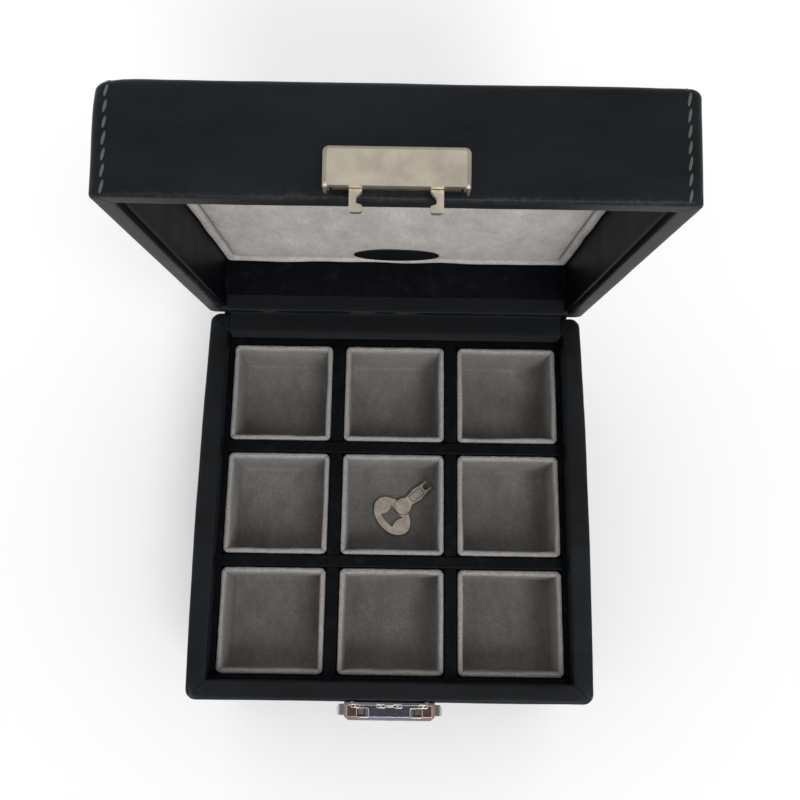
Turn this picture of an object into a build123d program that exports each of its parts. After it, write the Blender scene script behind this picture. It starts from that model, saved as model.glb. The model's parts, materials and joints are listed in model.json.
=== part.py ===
"""Cufflink box: a leather-wrapped box with a hinged lid, a nine-cup tray and a drawer under it.

Millimetres, +Z up, front towards -Y.  The origin is the centre of the underside of the base.
The lid is modelled shut and then swung open about its hinge to the angle it rests at.
"""
from build123d import *
import math
import os

# ---------------------------------------------------------------- driving dimensions
box_width = 130.0
box_depth = 130.0
base_height = 66.0
corner_radius = 3.2
rim_round = 1.2
rim_inner_round = 0.5
leather = 0.8
felt_thickness = 0.8
felt_inset = 2.0
bottom_board_thickness = 3.0
wall_board = 4.6
glue_gap = 0.05
slip_fit = 0.25

tray_depth = 28.0
tray_recess = 7.5
tray_board_thickness = 3.0
flap_depth = 10.0
opening_radius = 0.5
lining_front = 1.3
lining_back = 2.8
lining_side = 1.3

columns = 3
rows = 3
divider_thickness = 4.2
divider_round = 0.6
cup_gap = 0.25
cup_wall = 1.6
cup_floor = 1.4
cup_corner = 1.8
cup_lip = 0.2
cup_edge_round = 0.5

lid_overhang = 0.6
lid_height = 26.4
lid_corner = 2.6
lid_gap = 0.3
lid_top_round = 2.4
lid_rim_round = 0.8
lid_open_angle = 80.6
lid_wall_board = 3.6
lid_top_board = 4.4
lid_flap_depth = 8.0
lid_lining = 1.2
lid_lining_inset = 1.2
pad_depth = 17.0
pad_border = 2.6
pad_border_step = 0.4
pad_border_round = 0.7
pad_groove = 0.4
pad_crown_radius = 3400.0
pad_edge_round = 1.0
pad_corner = 2.0
label_length = 28.6
label_width = 14.0
label_thickness = 0.3
label_from_hinge = 17.0

strip_thickness = 0.45
strip_rebate = 0.5
strip_lid_drop = 5.0
spine_width = 121.0
spine_thickness = 0.8
spine_drop = 11.0

drawer_gap = 0.4
drawer_wall = 3.0
drawer_floor = 2.0
drawer_front_board = 4.0
drawer_headroom = 0.9
drawer_edge_leather = 0.4
drawer_edge_round = 0.6
drawer_liner_wall = 1.2
drawer_liner_drop = 0.8
knob_flange_radius = 3.2
knob_flange = 0.8
knob_neck_radius = 1.5
knob_ball_radius = 3.0
knob_length = 8.4
screw_radius = 0.95
screw_head_radius = 2.2
screw_head_length = 1.25
screw_in_knob = 4.0
bore_clearance = 0.05

lock_width = 28.8
lock_height = 13.6
lock_depth = 5.0
lock_wall = 0.7
lock_plate = 0.5
lock_rise = 0.2
lock_bevel = 1.2
lock_end_bevel = 1.0
lug_radius = 1.6
lug_height = 0.35
lug_positions = (-10.8, -2.7, 2.6, 10.7)
lug_bar_width = 0.9
slot_clearance = 0.35
slot_depth_clearance = 0.45
rivet_radius = 0.9
rivet_head_radius = 1.4
rivet_head = 0.4
rivet_length = 3.6
lock_rivet_x = 11.9
lock_rivet_inset = 2.2

hook_offset = 8.45
hook_foot = 2.7
hook_stem = 1.5
hook_plate = 1.5
hook_stand_off = 2.3
hook_reach = 3.7
hook_toe = 1.9
hook_undercut = 0.4
hook_throat = 1.3
hook_flare = 1.3
hook_round = 0.55
hasp_width = 30.6
hasp_height = 8.6
hasp_rise = 1.3
hasp_depth = 5.6
hasp_wall = 0.6
hasp_corner = 1.3
hasp_bevel = 0.9
hasp_pip = 0.65
hasp_flange = 0.6
hasp_flange_inset = 1.7
hasp_shelf = 1.3
hasp_rivet_x = 12.0

button_out = 2.5
button_height = 4.4
button_side_gap = 0.2
button_travel = 1.4
button_round = 0.9
button_ribs = 3
button_rib_pitch = 0.7
button_rib_depth = 0.2
button_flange = 1.2
button_flange_step = 1.0
catch_nose = 0.9
catch_thickness = 0.65
catch_arm = 2.0
catch_under_foot = 0.4
spring_thickness = 0.35
spring_depth = 2.4

rotor_radius = 2.4
rotor_flange_radius = 3.0
rotor_flange = 0.7
rotor_proud = 0.3
rotor_running_gap = 0.1

key_bow_long = 16.2
key_bow_short = 11.2
key_bow_thickness = 1.1
key_thickness = 1.6
key_bevel = 0.2
key_eye_long = 3.2
key_eye_short = 2.55
key_eye_bulge = 0.85
key_head_radius = 3.1
key_head_at = 5.2
key_neck_at = 8.3
key_neck_width = 3.7
key_waist_at = 12.0
key_waist_width = 5.0
key_fork_at = 15.1
key_tip_at = 17.9
key_tip_width = 3.9
key_notch_width = 1.9
key_notch_floor = 16.2
key_x = -0.2
key_y = -2.4
key_angle = 41.4
key_lie = 0.1

# ---------------------------------------------------------------- levels and derived sizes
half_depth = box_depth / 2
board_width = box_width - 2 * leather
board_depth = box_depth - 2 * leather
board_radius = corner_radius - leather
bay_width = board_width - 2 * wall_board
bay_depth = board_depth - 2 * wall_board
opening_width = bay_width - 2 * leather
opening_depth = bay_depth - 2 * leather

bottom_top = felt_thickness + bottom_board_thickness
board_top = base_height - leather
cup_floor_top = base_height - tray_depth
cup_base = cup_floor_top - cup_floor
tray_top = cup_base - glue_gap
tray_bottom = tray_top - tray_board_thickness
divider_top = base_height - tray_recess
divider_height = divider_top - tray_top

tray_inner_width = opening_width - 2 * (glue_gap + lining_side)
tray_inner_depth = opening_depth - 2 * glue_gap - lining_front - lining_back
tray_centre_y = (lining_front - lining_back) / 2
cup_width = (tray_inner_width - (columns - 1) * divider_thickness - 2 * columns * cup_gap) / columns
cup_depth = (tray_inner_depth - (rows - 1) * divider_thickness - 2 * rows * cup_gap) / rows
pitch_x = cup_width + divider_thickness + 2 * cup_gap
pitch_y = cup_depth + divider_thickness + 2 * cup_gap

strip_width = opening_width - 2 * (opening_radius + glue_gap)

hinge_y = half_depth
hinge_z = base_height + lid_gap
lid_width = box_width + lid_overhang
lid_depth = box_depth
lid_board_radius = lid_corner - leather
lid_board_width = lid_width - 2 * leather
lid_board_depth = lid_depth - 2 * leather
lid_opening_width = lid_board_width - 2 * (lid_wall_board + leather)
lid_opening_depth = lid_board_depth - 2 * (lid_wall_board + leather)
lid_inner_width = lid_opening_width - 2 * (glue_gap + lid_lining)
lid_inner_depth = lid_opening_depth - 2 * (glue_gap + lid_lining)
lid_roof = lid_height - leather - lid_top_board
pad_top = lid_roof - glue_gap

front_y = -half_depth
lock_plate_front = front_y - glue_gap - lock_plate
lock_front = lock_plate_front - lock_depth
lock_top = base_height + lock_rise
lock_bottom = lock_top - lock_height
hook_back = front_y - hook_stand_off
hook_front = hook_back - hook_plate
hook_middle = (hook_back + hook_front) / 2
button_depth = lock_depth - lock_wall - 2 * (button_side_gap + lock_wall / 2)
button_middle = (lock_plate_front + lock_front + lock_wall) / 2
slider_top = hinge_z - hook_reach - catch_under_foot
slider_bottom = slider_top - button_height
foot_inner = hook_offset - hook_foot / 2
foot_outer = hook_offset + hook_foot / 2
rotor_z = slider_top - button_height / 2
slider_inner = foot_inner - catch_arm - catch_under_foot

drawer_bottom = bottom_top + drawer_gap
drawer_top = tray_bottom - drawer_gap
drawer_front_width = bay_width - 2 * drawer_gap
drawer_back = bay_depth / 2 - drawer_gap
drawer_box_front = front_y + leather + drawer_front_board + glue_gap
knob_z = (drawer_bottom + drawer_top) / 2

hinge_axis = Axis((0, hinge_y, hinge_z), (1, 0, 0))


def swung(part):
    """The lid's pieces are drawn shut and swung open about the hinge."""
    return part.rotate(hinge_axis, -lid_open_angle)


def lid_point(v, h):
    """Y and Z of a point of the open lid, v in from the hinge and h above the lid's rim."""
    turn = math.radians(lid_open_angle)
    y = hinge_y - v * math.cos(turn) + h * math.sin(turn)
    z = hinge_z + v * math.sin(turn) + h * math.cos(turn)
    return (y, z)


def level(z):
    return Plane.XY.offset(z)


def ring(outer_width, outer_depth, outer_radius, inner_width, inner_depth, inner_radius):
    """A rectangular ring in the open sketch."""
    RectangleRounded(outer_width, outer_depth, outer_radius)
    RectangleRounded(inner_width, inner_depth, inner_radius, mode=Mode.SUBTRACT)


# ---------------------------------------------------------------- base: carcass
def base_felt():
    with BuildPart() as felt:
        with BuildSketch():
            RectangleRounded(box_width - 2 * felt_inset, box_depth - 2 * felt_inset,
                             corner_radius - leather)
        extrude(amount=felt_thickness)
    return felt.part


def bottom_board():
    with BuildPart() as board:
        with BuildSketch(level(felt_thickness)):
            RectangleRounded(board_width, board_depth, board_radius)
        extrude(amount=bottom_board_thickness)
    return board.part


def side_wall(side):
    """A side board runs the full depth and carries the rounded corners."""
    with BuildPart() as board:
        with BuildSketch(level(bottom_top)):
            RectangleRounded(board_width, board_depth, board_radius)
            with Locations((side * (bay_width + board_width) / 4, 0)):
                Rectangle(wall_board, board_depth, mode=Mode.INTERSECT)
        extrude(amount=board_top - bottom_top)
    return board.part


def back_wall():
    with BuildPart() as board:
        with BuildSketch(level(bottom_top)):
            with Locations((0, (bay_depth + board_depth) / 4)):
                Rectangle(bay_width, wall_board)
        extrude(amount=board_top - bottom_top)
    return board.part


def lock_rivet_spots():
    """Rivet centres of the lock as (x, z)."""
    low = lock_bottom + lock_rivet_inset
    high = lock_top - lock_rivet_inset
    return [(x, z) for x in (-lock_rivet_x, lock_rivet_x) for z in (low, high)]


def bars(spots, radius, start, length):
    """Round bars along +Y from the plane y = start, at (x, z) spots."""
    with BuildPart() as rods:
        with BuildSketch(Plane.XZ.offset(-start)):
            with Locations(*spots):
                Circle(radius)
        extrude(amount=-length)
    return rods.part


def front_rail():
    """The board above the drawer, which carries the lock."""
    with BuildPart() as rail:
        with BuildSketch(level(tray_bottom)):
            with Locations((0, -(bay_depth + board_depth) / 4)):
                Rectangle(bay_width, wall_board)
        extrude(amount=board_top - tray_bottom)
        holes = bars(lock_rivet_spots(), rivet_radius + bore_clearance, front_y, rivet_length)
        add(holes, mode=Mode.SUBTRACT)
    return rail.part


def tray_board():
    with BuildPart() as board:
        with BuildSketch(level(tray_bottom)):
            Rectangle(bay_width - 2 * glue_gap, bay_depth - 2 * glue_gap)
        extrude(amount=tray_board_thickness)
    return board.part


def base_leather():
    """The wrap: outer faces, over the rim and down inside as a flap."""
    with BuildPart() as wrap:
        with BuildSketch(level(felt_thickness)):
            RectangleRounded(box_width, box_depth, corner_radius)
        extrude(amount=base_height - felt_thickness)
        fillet(wrap.edges().group_by(Axis.Z)[-1], rim_round)
        with BuildSketch(level(felt_thickness)):
            RectangleRounded(board_width, board_depth, board_radius)
        extrude(amount=board_top - felt_thickness, mode=Mode.SUBTRACT)
        with BuildSketch(level(board_top)):
            RectangleRounded(opening_width, opening_depth, opening_radius)
        extrude(amount=leather, mode=Mode.SUBTRACT)
        rim_edges = wrap.edges().group_by(Axis.Z)[-1]
        inner_edges = rim_edges.filter_by(
            lambda e: abs(e.center().X) < opening_width / 2 + glue_gap
            and abs(e.center().Y) < opening_depth / 2 + glue_gap)
        fillet(inner_edges, rim_inner_round)
        with BuildSketch(level(base_height - flap_depth)):
            Rectangle(bay_width, bay_depth)
            RectangleRounded(opening_width, opening_depth, opening_radius, mode=Mode.SUBTRACT)
        extrude(amount=flap_depth - leather)
        with BuildSketch(level(base_height - strip_rebate)):
            with Locations((0, (opening_depth / 2 + half_depth) / 2)):
                Rectangle(strip_width + 2 * slip_fit, half_depth - opening_depth / 2 + 2 * slip_fit)
        extrude(amount=strip_rebate, mode=Mode.SUBTRACT)
        with BuildSketch(Plane.XZ.offset(-front_y)):
            with Locations((0, (bottom_top + tray_bottom) / 2)):
                Rectangle(bay_width, tray_bottom - bottom_top)
        extrude(amount=-leather, mode=Mode.SUBTRACT)
        holes = bars(lock_rivet_spots(), rivet_radius + bore_clearance, front_y, leather)
        add(holes, mode=Mode.SUBTRACT)
    return wrap.part


# ---------------------------------------------------------------- base: tray
def tray_lining():
    """A card lining round the tray, deeper at the back."""
    with BuildPart() as lining:
        with BuildSketch(level(tray_top)):
            RectangleRounded(opening_width - 2 * glue_gap, opening_depth - 2 * glue_gap,
                             opening_radius)
            with Locations((0, tray_centre_y)):
                Rectangle(tray_inner_width, tray_inner_depth, mode=Mode.SUBTRACT)
        extrude(amount=divider_height)
    return lining.part


def divider_spots(count, pitch):
    """Centre offsets of the dividers between count cells."""
    return [(i - (count - 2) / 2) * pitch for i in range(count - 1)]


def long_divider(row):
    """Runs left to right; its notches open downwards over the cross dividers."""
    y = tray_centre_y + divider_spots(rows, pitch_y)[row]
    with BuildPart() as strip:
        with BuildSketch(level(tray_top)):
            with Locations((0, y)):
                Rectangle(tray_inner_width - 2 * glue_gap, divider_thickness)
        extrude(amount=divider_height)
        fillet(strip.edges().filter_by(Axis.X).group_by(Axis.Z)[-1], divider_round)
        with BuildSketch(level(tray_top)):
            with Locations(*[(x, y) for x in divider_spots(columns, pitch_x)]):
                Rectangle(divider_thickness + 2 * glue_gap, divider_thickness)
        extrude(amount=divider_height / 2, mode=Mode.SUBTRACT)
    return strip.part


def cross_divider(column):
    """Runs front to back; its notches open upwards, half-lapped with the long dividers."""
    x = divider_spots(columns, pitch_x)[column]
    notch_floor = tray_top + divider_height / 2 - glue_gap
    with BuildPart() as strip:
        with BuildSketch(level(tray_top)):
            with Locations((x, tray_centre_y)):
                Rectangle(divider_thickness, tray_inner_depth - 2 * glue_gap)
        extrude(amount=divider_height)
        fillet(strip.edges().filter_by(Axis.Y).group_by(Axis.Z)[-1], divider_round)
        with BuildSketch(level(notch_floor)):
            with Locations(*[(x, tray_centre_y + y) for y in divider_spots(rows, pitch_y)]):
                Rectangle(divider_thickness, divider_thickness + 2 * glue_gap)
        extrude(amount=divider_top - notch_floor, mode=Mode.SUBTRACT)
    return strip.part


def cup(column, row):
    """A suede-covered cup with a soft rolled edge."""
    x = (column - (columns - 1) / 2) * pitch_x
    y = tray_centre_y + (row - (rows - 1) / 2) * pitch_y
    top = divider_top + cup_lip
    with BuildPart() as liner:
        with BuildSketch(level(cup_base)):
            with Locations((x, y)):
                RectangleRounded(cup_width, cup_depth, cup_corner)
        extrude(amount=top - cup_base)
        with BuildSketch(level(cup_floor_top)):
            with Locations((x, y)):
                Rectangle(cup_width - 2 * cup_wall, cup_depth - 2 * cup_wall)
        extrude(amount=top - cup_floor_top, mode=Mode.SUBTRACT)
        fillet(liner.edges().group_by(Axis.Z)[-1], cup_edge_round)
    return liner.part


# ---------------------------------------------------------------- base: lock
def lock_back_plate():
    with BuildPart() as plate:
        with BuildSketch(Plane.XZ.offset(-(front_y - glue_gap))):
            with Locations((0, (lock_bottom + lock_top) / 2)):
                Rectangle(lock_width, lock_height)
            with Locations(*lock_rivet_spots()):
                Circle(rivet_radius + bore_clearance, mode=Mode.SUBTRACT)
        extrude(amount=lock_plate)
    return plate.part


def lock_case():
    """The stamped case: slots on top for the hooks, ports at the ends, a keyhole in front."""
    slot_width = hook_foot + 2 * slot_clearance
    slot_depth = hook_plate + 2 * slot_depth_clearance
    middle_z = (lock_bottom + lock_top) / 2
    with BuildPart() as case:
        with BuildSketch(Plane.XZ.offset(-lock_plate_front)):
            with Locations((0, middle_z)):
                Rectangle(lock_width, lock_height)
        extrude(amount=lock_depth)
        chamfer(case.edges().filter_by(Axis.Y).group_by(Axis.Z)[-1], lock_end_bevel)
        chamfer(case.faces().sort_by(Axis.Y)[0].edges(), lock_bevel)
        with BuildSketch(Plane.XZ.offset(-lock_plate_front)):
            with Locations((0, middle_z)):
                Rectangle(lock_width - 2 * lock_wall, lock_height - 2 * lock_wall)
        extrude(amount=lock_depth - lock_wall, mode=Mode.SUBTRACT)
        case_front = -(lock_plate_front + lock_front) / 2
        with BuildSketch(level(lock_top)):
            with Locations(*[(x, lock_plate_front) for x in lug_positions]):
                Circle(lug_radius)
            with Locations((0, lock_plate_front - lug_bar_width / 2)):
                Rectangle(lug_positions[2] - lug_positions[1], lug_bar_width)
            with Locations((0, -case_front)):
                Rectangle(lock_width, lock_depth, mode=Mode.INTERSECT)
        extrude(amount=lug_height)
        with BuildSketch(level(lock_top - lock_wall)):
            with Locations((-hook_offset, hook_middle), (hook_offset, hook_middle)):
                Rectangle(slot_width, slot_depth)
        extrude(amount=lock_wall + lug_height, mode=Mode.SUBTRACT)
        with BuildSketch(Plane.YZ.offset(-lock_width / 2)):
            with Locations((button_middle, slider_top - button_height / 2)):
                Rectangle(button_depth + 2 * button_side_gap, button_height + 2 * button_side_gap)
        extrude(amount=lock_width, mode=Mode.SUBTRACT)
        with BuildSketch(Plane.XZ.offset(-lock_front)):
            with Locations((0, rotor_z)):
                Circle(rotor_radius + rotor_running_gap)
        extrude(amount=-lock_wall, mode=Mode.SUBTRACT)
    return case.part


def rivets(spots, under_head, length):
    """Rivets along Y with their heads towards the front."""
    with BuildPart() as pins:
        add(bars(spots, rivet_radius, under_head, length))
        add(bars(spots, rivet_head_radius, under_head - rivet_head, rivet_head))
    return pins.part


def lock_rivets():
    return rivets(lock_rivet_spots(), lock_plate_front, lock_plate + rivet_length)


def lock_rotor():
    """The key barrel: two pin holes take the fork of the key."""
    face = lock_front - rotor_proud
    shoulder = lock_front + lock_wall + rotor_running_gap
    prong = (key_tip_width + key_notch_width) / 4
    with BuildPart() as rotor:
        with BuildSketch(Plane.XZ.offset(-shoulder)):
            with Locations((0, rotor_z)):
                Circle(rotor_radius)
        extrude(amount=shoulder - face)
        fillet(rotor.faces().sort_by(Axis.Y)[0].edges(), rotor_proud / 2)
        with BuildSketch(Plane.XZ.offset(-shoulder)):
            with Locations((0, rotor_z)):
                Circle(rotor_flange_radius)
        extrude(amount=-rotor_flange)
        with BuildSketch(Plane.XZ.offset(-face)):
            with Locations((-prong, rotor_z), (prong, rotor_z)):
                Rectangle(slip_fit + (key_tip_width - key_notch_width) / 2, key_thickness)
        extrude(amount=-(shoulder - face), mode=Mode.SUBTRACT)
    return rotor.part


def button(side):
    """Push button, slider and catch in one: the nose holds the hook's foot from inside."""
    shoulder = lock_width / 2 - lock_wall - rotor_running_gap
    tip = lock_width / 2 + button_out
    nose_top = lock_top - lock_wall - slot_clearance / 2
    nose_tip = foot_inner + catch_nose
    with BuildPart() as slider:
        with BuildSketch(Plane.XZ.offset(-(button_middle + button_depth / 2))):
            with BuildLine():
                Polyline((slider_inner, slider_bottom), (tip, slider_bottom), (tip, slider_top),
                         (slider_inner + catch_arm, slider_top),
                         (slider_inner + catch_arm, nose_top - catch_thickness),
                         (nose_tip, nose_top - catch_thickness),
                         (nose_tip, nose_top - catch_thickness / 2),
                         (nose_tip - catch_thickness / 2, nose_top),
                         (slider_inner, nose_top), close=True)
            make_face()
        extrude(amount=button_depth)
        fillet(slider.faces().sort_by(Axis.X)[-1].edges(), button_round)
        with BuildSketch(Plane.YZ.offset(shoulder - button_flange)):
            with Locations((button_middle, slider_top - button_height / 2)):
                Rectangle(button_depth, button_height + 2 * button_flange_step)
        extrude(amount=button_flange)
        ribs_from = lock_width / 2 + button_out - button_round
        with BuildSketch(Plane.XZ.offset(-(button_middle - button_depth / 2))):
            with Locations(*[(ribs_from - i * button_rib_pitch, slider_top - button_height / 2)
                             for i in range(button_ribs)]):
                Rectangle(button_rib_pitch / 2, button_height)
        extrude(amount=-button_rib_depth, mode=Mode.SUBTRACT)
        if side < 0:
            mirror(about=Plane.YZ, mode=Mode.REPLACE)
    return slider.part


def catch_spring():
    """A bent leaf between the two sliders pushes both buttons out."""
    leg = slider_inner - glue_gap
    bend_z = slider_top - button_height + leg / 2
    bend_radius = leg - spring_thickness / 2
    with BuildPart() as leaf:
        with BuildSketch(Plane.XZ.offset(-(lock_plate_front - 2 * rivet_head))):
            with BuildLine() as path:
                right = Line((bend_radius, slider_top), (bend_radius, bend_z))
                bottom = TangentArc(right @ 1, (-bend_radius, bend_z), tangent=right % 1)
                Line(bottom @ 1, (-bend_radius, slider_top))
            trace(path.line, line_width=spring_thickness)
        extrude(amount=spring_depth)
    return leaf.part


# ---------------------------------------------------------------- hinge
def hinge_strip():
    """Cloth strip inside: down the tray wall, over both rims and up the lid's lining."""
    corner = (hinge_y - strip_thickness, base_height)
    inner_y = opening_depth / 2
    rim_v = half_depth - lid_inner_depth / 2
    outline = [
        (inner_y - glue_gap, divider_top + slip_fit),
        (inner_y - strip_thickness, divider_top + slip_fit),
        (inner_y - strip_thickness, base_height),
        corner,
        lid_point(strip_thickness, 0),
        lid_point(rim_v + strip_thickness, 0),
        lid_point(rim_v + strip_thickness, strip_lid_drop),
        lid_point(rim_v + glue_gap, strip_lid_drop),
        lid_point(rim_v + glue_gap, strip_thickness),
        lid_point(glue_gap, strip_thickness),
        lid_point(glue_gap, glue_gap),
        (hinge_y - glue_gap, base_height - strip_rebate + glue_gap),
        (inner_y - glue_gap, base_height - strip_rebate + glue_gap),
    ]
    with BuildPart() as strip:
        with BuildSketch(Plane.YZ.offset(-strip_width / 2)):
            with BuildLine():
                Polyline(*outline, close=True)
            make_face()
        extrude(amount=strip_width)
    return strip.part


def hinge_spine():
    """Leather spine outside, from the base's back to the lid's back."""
    inner = hinge_y + glue_gap
    outer = inner + spine_thickness
    turn = math.radians(lid_open_angle)
    fold_y, fold_z = lid_point(-glue_gap, 0)
    back_y, back_z = lid_point(-glue_gap - spine_thickness, 0)
    slope = math.cos(turn) / math.sin(turn)
    outline = [
        (inner, base_height - spine_drop),
        (outer, base_height - spine_drop),
        (outer, back_z + (outer - back_y) * slope),
        lid_point(-glue_gap - spine_thickness, spine_drop),
        lid_point(-glue_gap, spine_drop),
        (inner, fold_z + (inner - fold_y) * slope),
    ]
    with BuildPart() as spine:
        with BuildSketch(Plane.YZ.offset(-spine_width / 2)):
            with BuildLine():
                Polyline(*outline, close=True)
            make_face()
        extrude(amount=spine_width)
    return spine.part


# ---------------------------------------------------------------- lid
def lid_core():
    """The space inside the lid's leather: the boards' outer form."""
    with BuildPart() as core:
        with BuildSketch(level(hinge_z + leather)):
            RectangleRounded(lid_board_width, lid_board_depth, lid_board_radius)
        extrude(amount=lid_height - 2 * leather)
        fillet(core.edges().group_by(Axis.Z)[-1], lid_top_round - leather)
    return core.part


def lid_board():
    with BuildPart() as board:
        add(lid_core())
        with BuildSketch(level(hinge_z)):
            Rectangle(lid_width, lid_depth)
        extrude(amount=lid_roof, mode=Mode.SUBTRACT)
    return swung(board.part)


def hasp_rivet_spots():
    """Rivet centres of the hasp on the shut lid as (x, z)."""
    z = hinge_z + hasp_rise + hasp_height * 0.6
    return [(-hasp_rivet_x, z), (hasp_rivet_x, z)]


def lid_wall(name):
    """One mitred board of the lid's frame."""
    half_w = lid_board_width / 2
    half_d = lid_board_depth / 2
    cut = 2 * lid_wall_board
    corners = {
        "front": [(-half_w, -half_d), (half_w, -half_d), (half_w - cut, cut - half_d),
                  (cut - half_w, cut - half_d)],
        "back": [(-half_w, half_d), (half_w, half_d), (half_w - cut, half_d - cut),
                 (cut - half_w, half_d - cut)],
        "left": [(-half_w, -half_d), (-half_w, half_d), (cut - half_w, half_d - cut),
                 (cut - half_w, cut - half_d)],
        "right": [(half_w, -half_d), (half_w, half_d), (half_w - cut, half_d - cut),
                  (half_w - cut, cut - half_d)],
    }
    with BuildPart() as board:
        with BuildSketch(level(hinge_z + leather)):
            RectangleRounded(lid_board_width, lid_board_depth, lid_board_radius)
            Rectangle(lid_board_width - 2 * lid_wall_board, lid_board_depth - 2 * lid_wall_board,
                      mode=Mode.SUBTRACT)
            with BuildLine():
                Polyline(*corners[name], close=True)
            make_face(mode=Mode.INTERSECT)
        extrude(amount=lid_roof - leather)
        if name == "front":
            holes = bars(hasp_rivet_spots(), rivet_radius + bore_clearance, front_y, rivet_length)
            add(holes, mode=Mode.SUBTRACT)
    return swung(board.part)


def lid_leather():
    with BuildPart() as wrap:
        with BuildSketch(level(hinge_z)):
            RectangleRounded(lid_width, lid_depth, lid_corner)
        extrude(amount=lid_height)
        fillet(wrap.edges().group_by(Axis.Z)[-1], lid_top_round)
        fillet(wrap.edges().group_by(Axis.Z)[0], lid_rim_round)
        add(lid_core(), mode=Mode.SUBTRACT)
        with BuildSketch(level(hinge_z)):
            RectangleRounded(lid_opening_width, lid_opening_depth, opening_radius)
        extrude(amount=leather, mode=Mode.SUBTRACT)
        with BuildSketch(level(hinge_z + leather)):
            Rectangle(lid_board_width - 2 * lid_wall_board, lid_board_depth - 2 * lid_wall_board)
            RectangleRounded(lid_opening_width, lid_opening_depth, opening_radius,
                             mode=Mode.SUBTRACT)
        extrude(amount=lid_flap_depth - leather)
        with BuildSketch(level(hinge_z)):
            with Locations((0, (lid_opening_depth / 2 + half_depth) / 2)):
                Rectangle(strip_width + 2 * slip_fit,
                          half_depth - lid_opening_depth / 2 + 2 * slip_fit)
        extrude(amount=strip_rebate, mode=Mode.SUBTRACT)
        holes = bars(hasp_rivet_spots(), rivet_radius + bore_clearance, front_y, leather)
        add(holes, mode=Mode.SUBTRACT)
    return swung(wrap.part)


def lid_side_lining():
    with BuildPart() as lining:
        with BuildSketch(level(hinge_z + lid_lining_inset)):
            ring(lid_opening_width - 2 * glue_gap, lid_opening_depth - 2 * glue_gap, opening_radius,
                 lid_inner_width, lid_inner_depth, opening_radius)
        extrude(amount=pad_top - lid_lining_inset)
    return swung(lining.part)


def lid_pad_border():
    """The raised suede roll round the lid's lining."""
    width = lid_inner_width - 2 * slip_fit
    depth = lid_inner_depth - 2 * slip_fit
    bottom = pad_depth - pad_border_step
    with BuildPart() as border:
        with BuildSketch(level(hinge_z + bottom)):
            ring(width, depth, opening_radius,
                 width - 2 * pad_border, depth - 2 * pad_border, opening_radius)
        extrude(amount=pad_top - bottom)
        fillet(border.edges().group_by(Axis.Z)[0], pad_border_round)
    return swung(border.part)


def lid_pad():
    """The crowned suede cushion inside the border."""
    inset = slip_fit + pad_border + pad_groove
    with BuildPart() as pad:
        with BuildSketch(level(hinge_z + pad_depth)):
            RectangleRounded(lid_inner_width - 2 * inset, lid_inner_depth - 2 * inset, pad_corner)
        extrude(amount=pad_top - pad_depth)
        fillet(pad.faces().sort_by(Axis.Z)[0].edges(), pad_edge_round)
        with Locations((0, 0, hinge_z + pad_depth + pad_crown_radius)):
            Sphere(pad_crown_radius, mode=Mode.INTERSECT)
    return swung(pad.part)


def lid_label():
    """A plain oval patch on the lining near the hinge."""
    y = hinge_y - label_from_hinge
    sag = y * y / (2 * pad_crown_radius)
    with BuildPart() as patch:
        with BuildSketch(level(hinge_z + pad_depth + sag - label_thickness - slip_fit / 2)):
            with Locations((0, y)):
                Ellipse(label_length / 2, label_width / 2)
        extrude(amount=label_thickness)
    return swung(patch.part)


# ---------------------------------------------------------------- hasp on the lid
def hook_outline():
    """One hook seen from the front, on the shut lid, as (x, z)."""
    stem_inner = foot_outer - hook_stem
    toe_top = hinge_z - hook_reach + hook_toe
    throat_top = toe_top + hook_throat
    return [
        (foot_outer, hinge_z + hasp_rise + hasp_shelf),
        (foot_outer, hinge_z - hook_reach),
        (foot_inner, hinge_z - hook_reach),
        (foot_inner, toe_top - hook_undercut),
        (stem_inner, toe_top),
        (stem_inner, throat_top),
        (foot_inner, throat_top + hook_flare),
        (foot_inner, hinge_z + hasp_rise + hasp_shelf),
    ]


def hasp_hooks():
    """The riveted flange, its shelf and the two hooks."""
    flange_bottom = hinge_z + hasp_rise + hasp_flange_inset / 2
    flange_top = hinge_z + hasp_rise + hasp_height - hasp_flange_inset
    flange_width = hasp_width - 2 * hasp_flange_inset
    with BuildPart() as hooks:
        with BuildSketch(Plane.XZ.offset(-(front_y - glue_gap))):
            with Locations((0, (flange_bottom + flange_top) / 2)):
                Rectangle(flange_width, flange_top - flange_bottom)
        extrude(amount=hasp_flange)
        with BuildSketch(Plane.XZ.offset(-(front_y - glue_gap))):
            with Locations((0, flange_bottom + hasp_shelf / 2)):
                Rectangle(2 * foot_outer, hasp_shelf)
        extrude(amount=-(hook_front - front_y + glue_gap))
        with BuildSketch(Plane.XZ.offset(-hook_back)) as hook:
            with BuildLine():
                Polyline(*hook_outline(), close=True)
            make_face()
            fillet(hook.vertices().group_by(Axis.Y)[0], hook_round)
            mirror(about=Plane.YZ)
        extrude(amount=hook_plate)
        add(bars(hasp_rivet_spots(), rivet_radius + bore_clearance, front_y - hasp_flange - 1,
                    hasp_flange + 1), mode=Mode.SUBTRACT)
    return swung(hooks.part)


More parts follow.
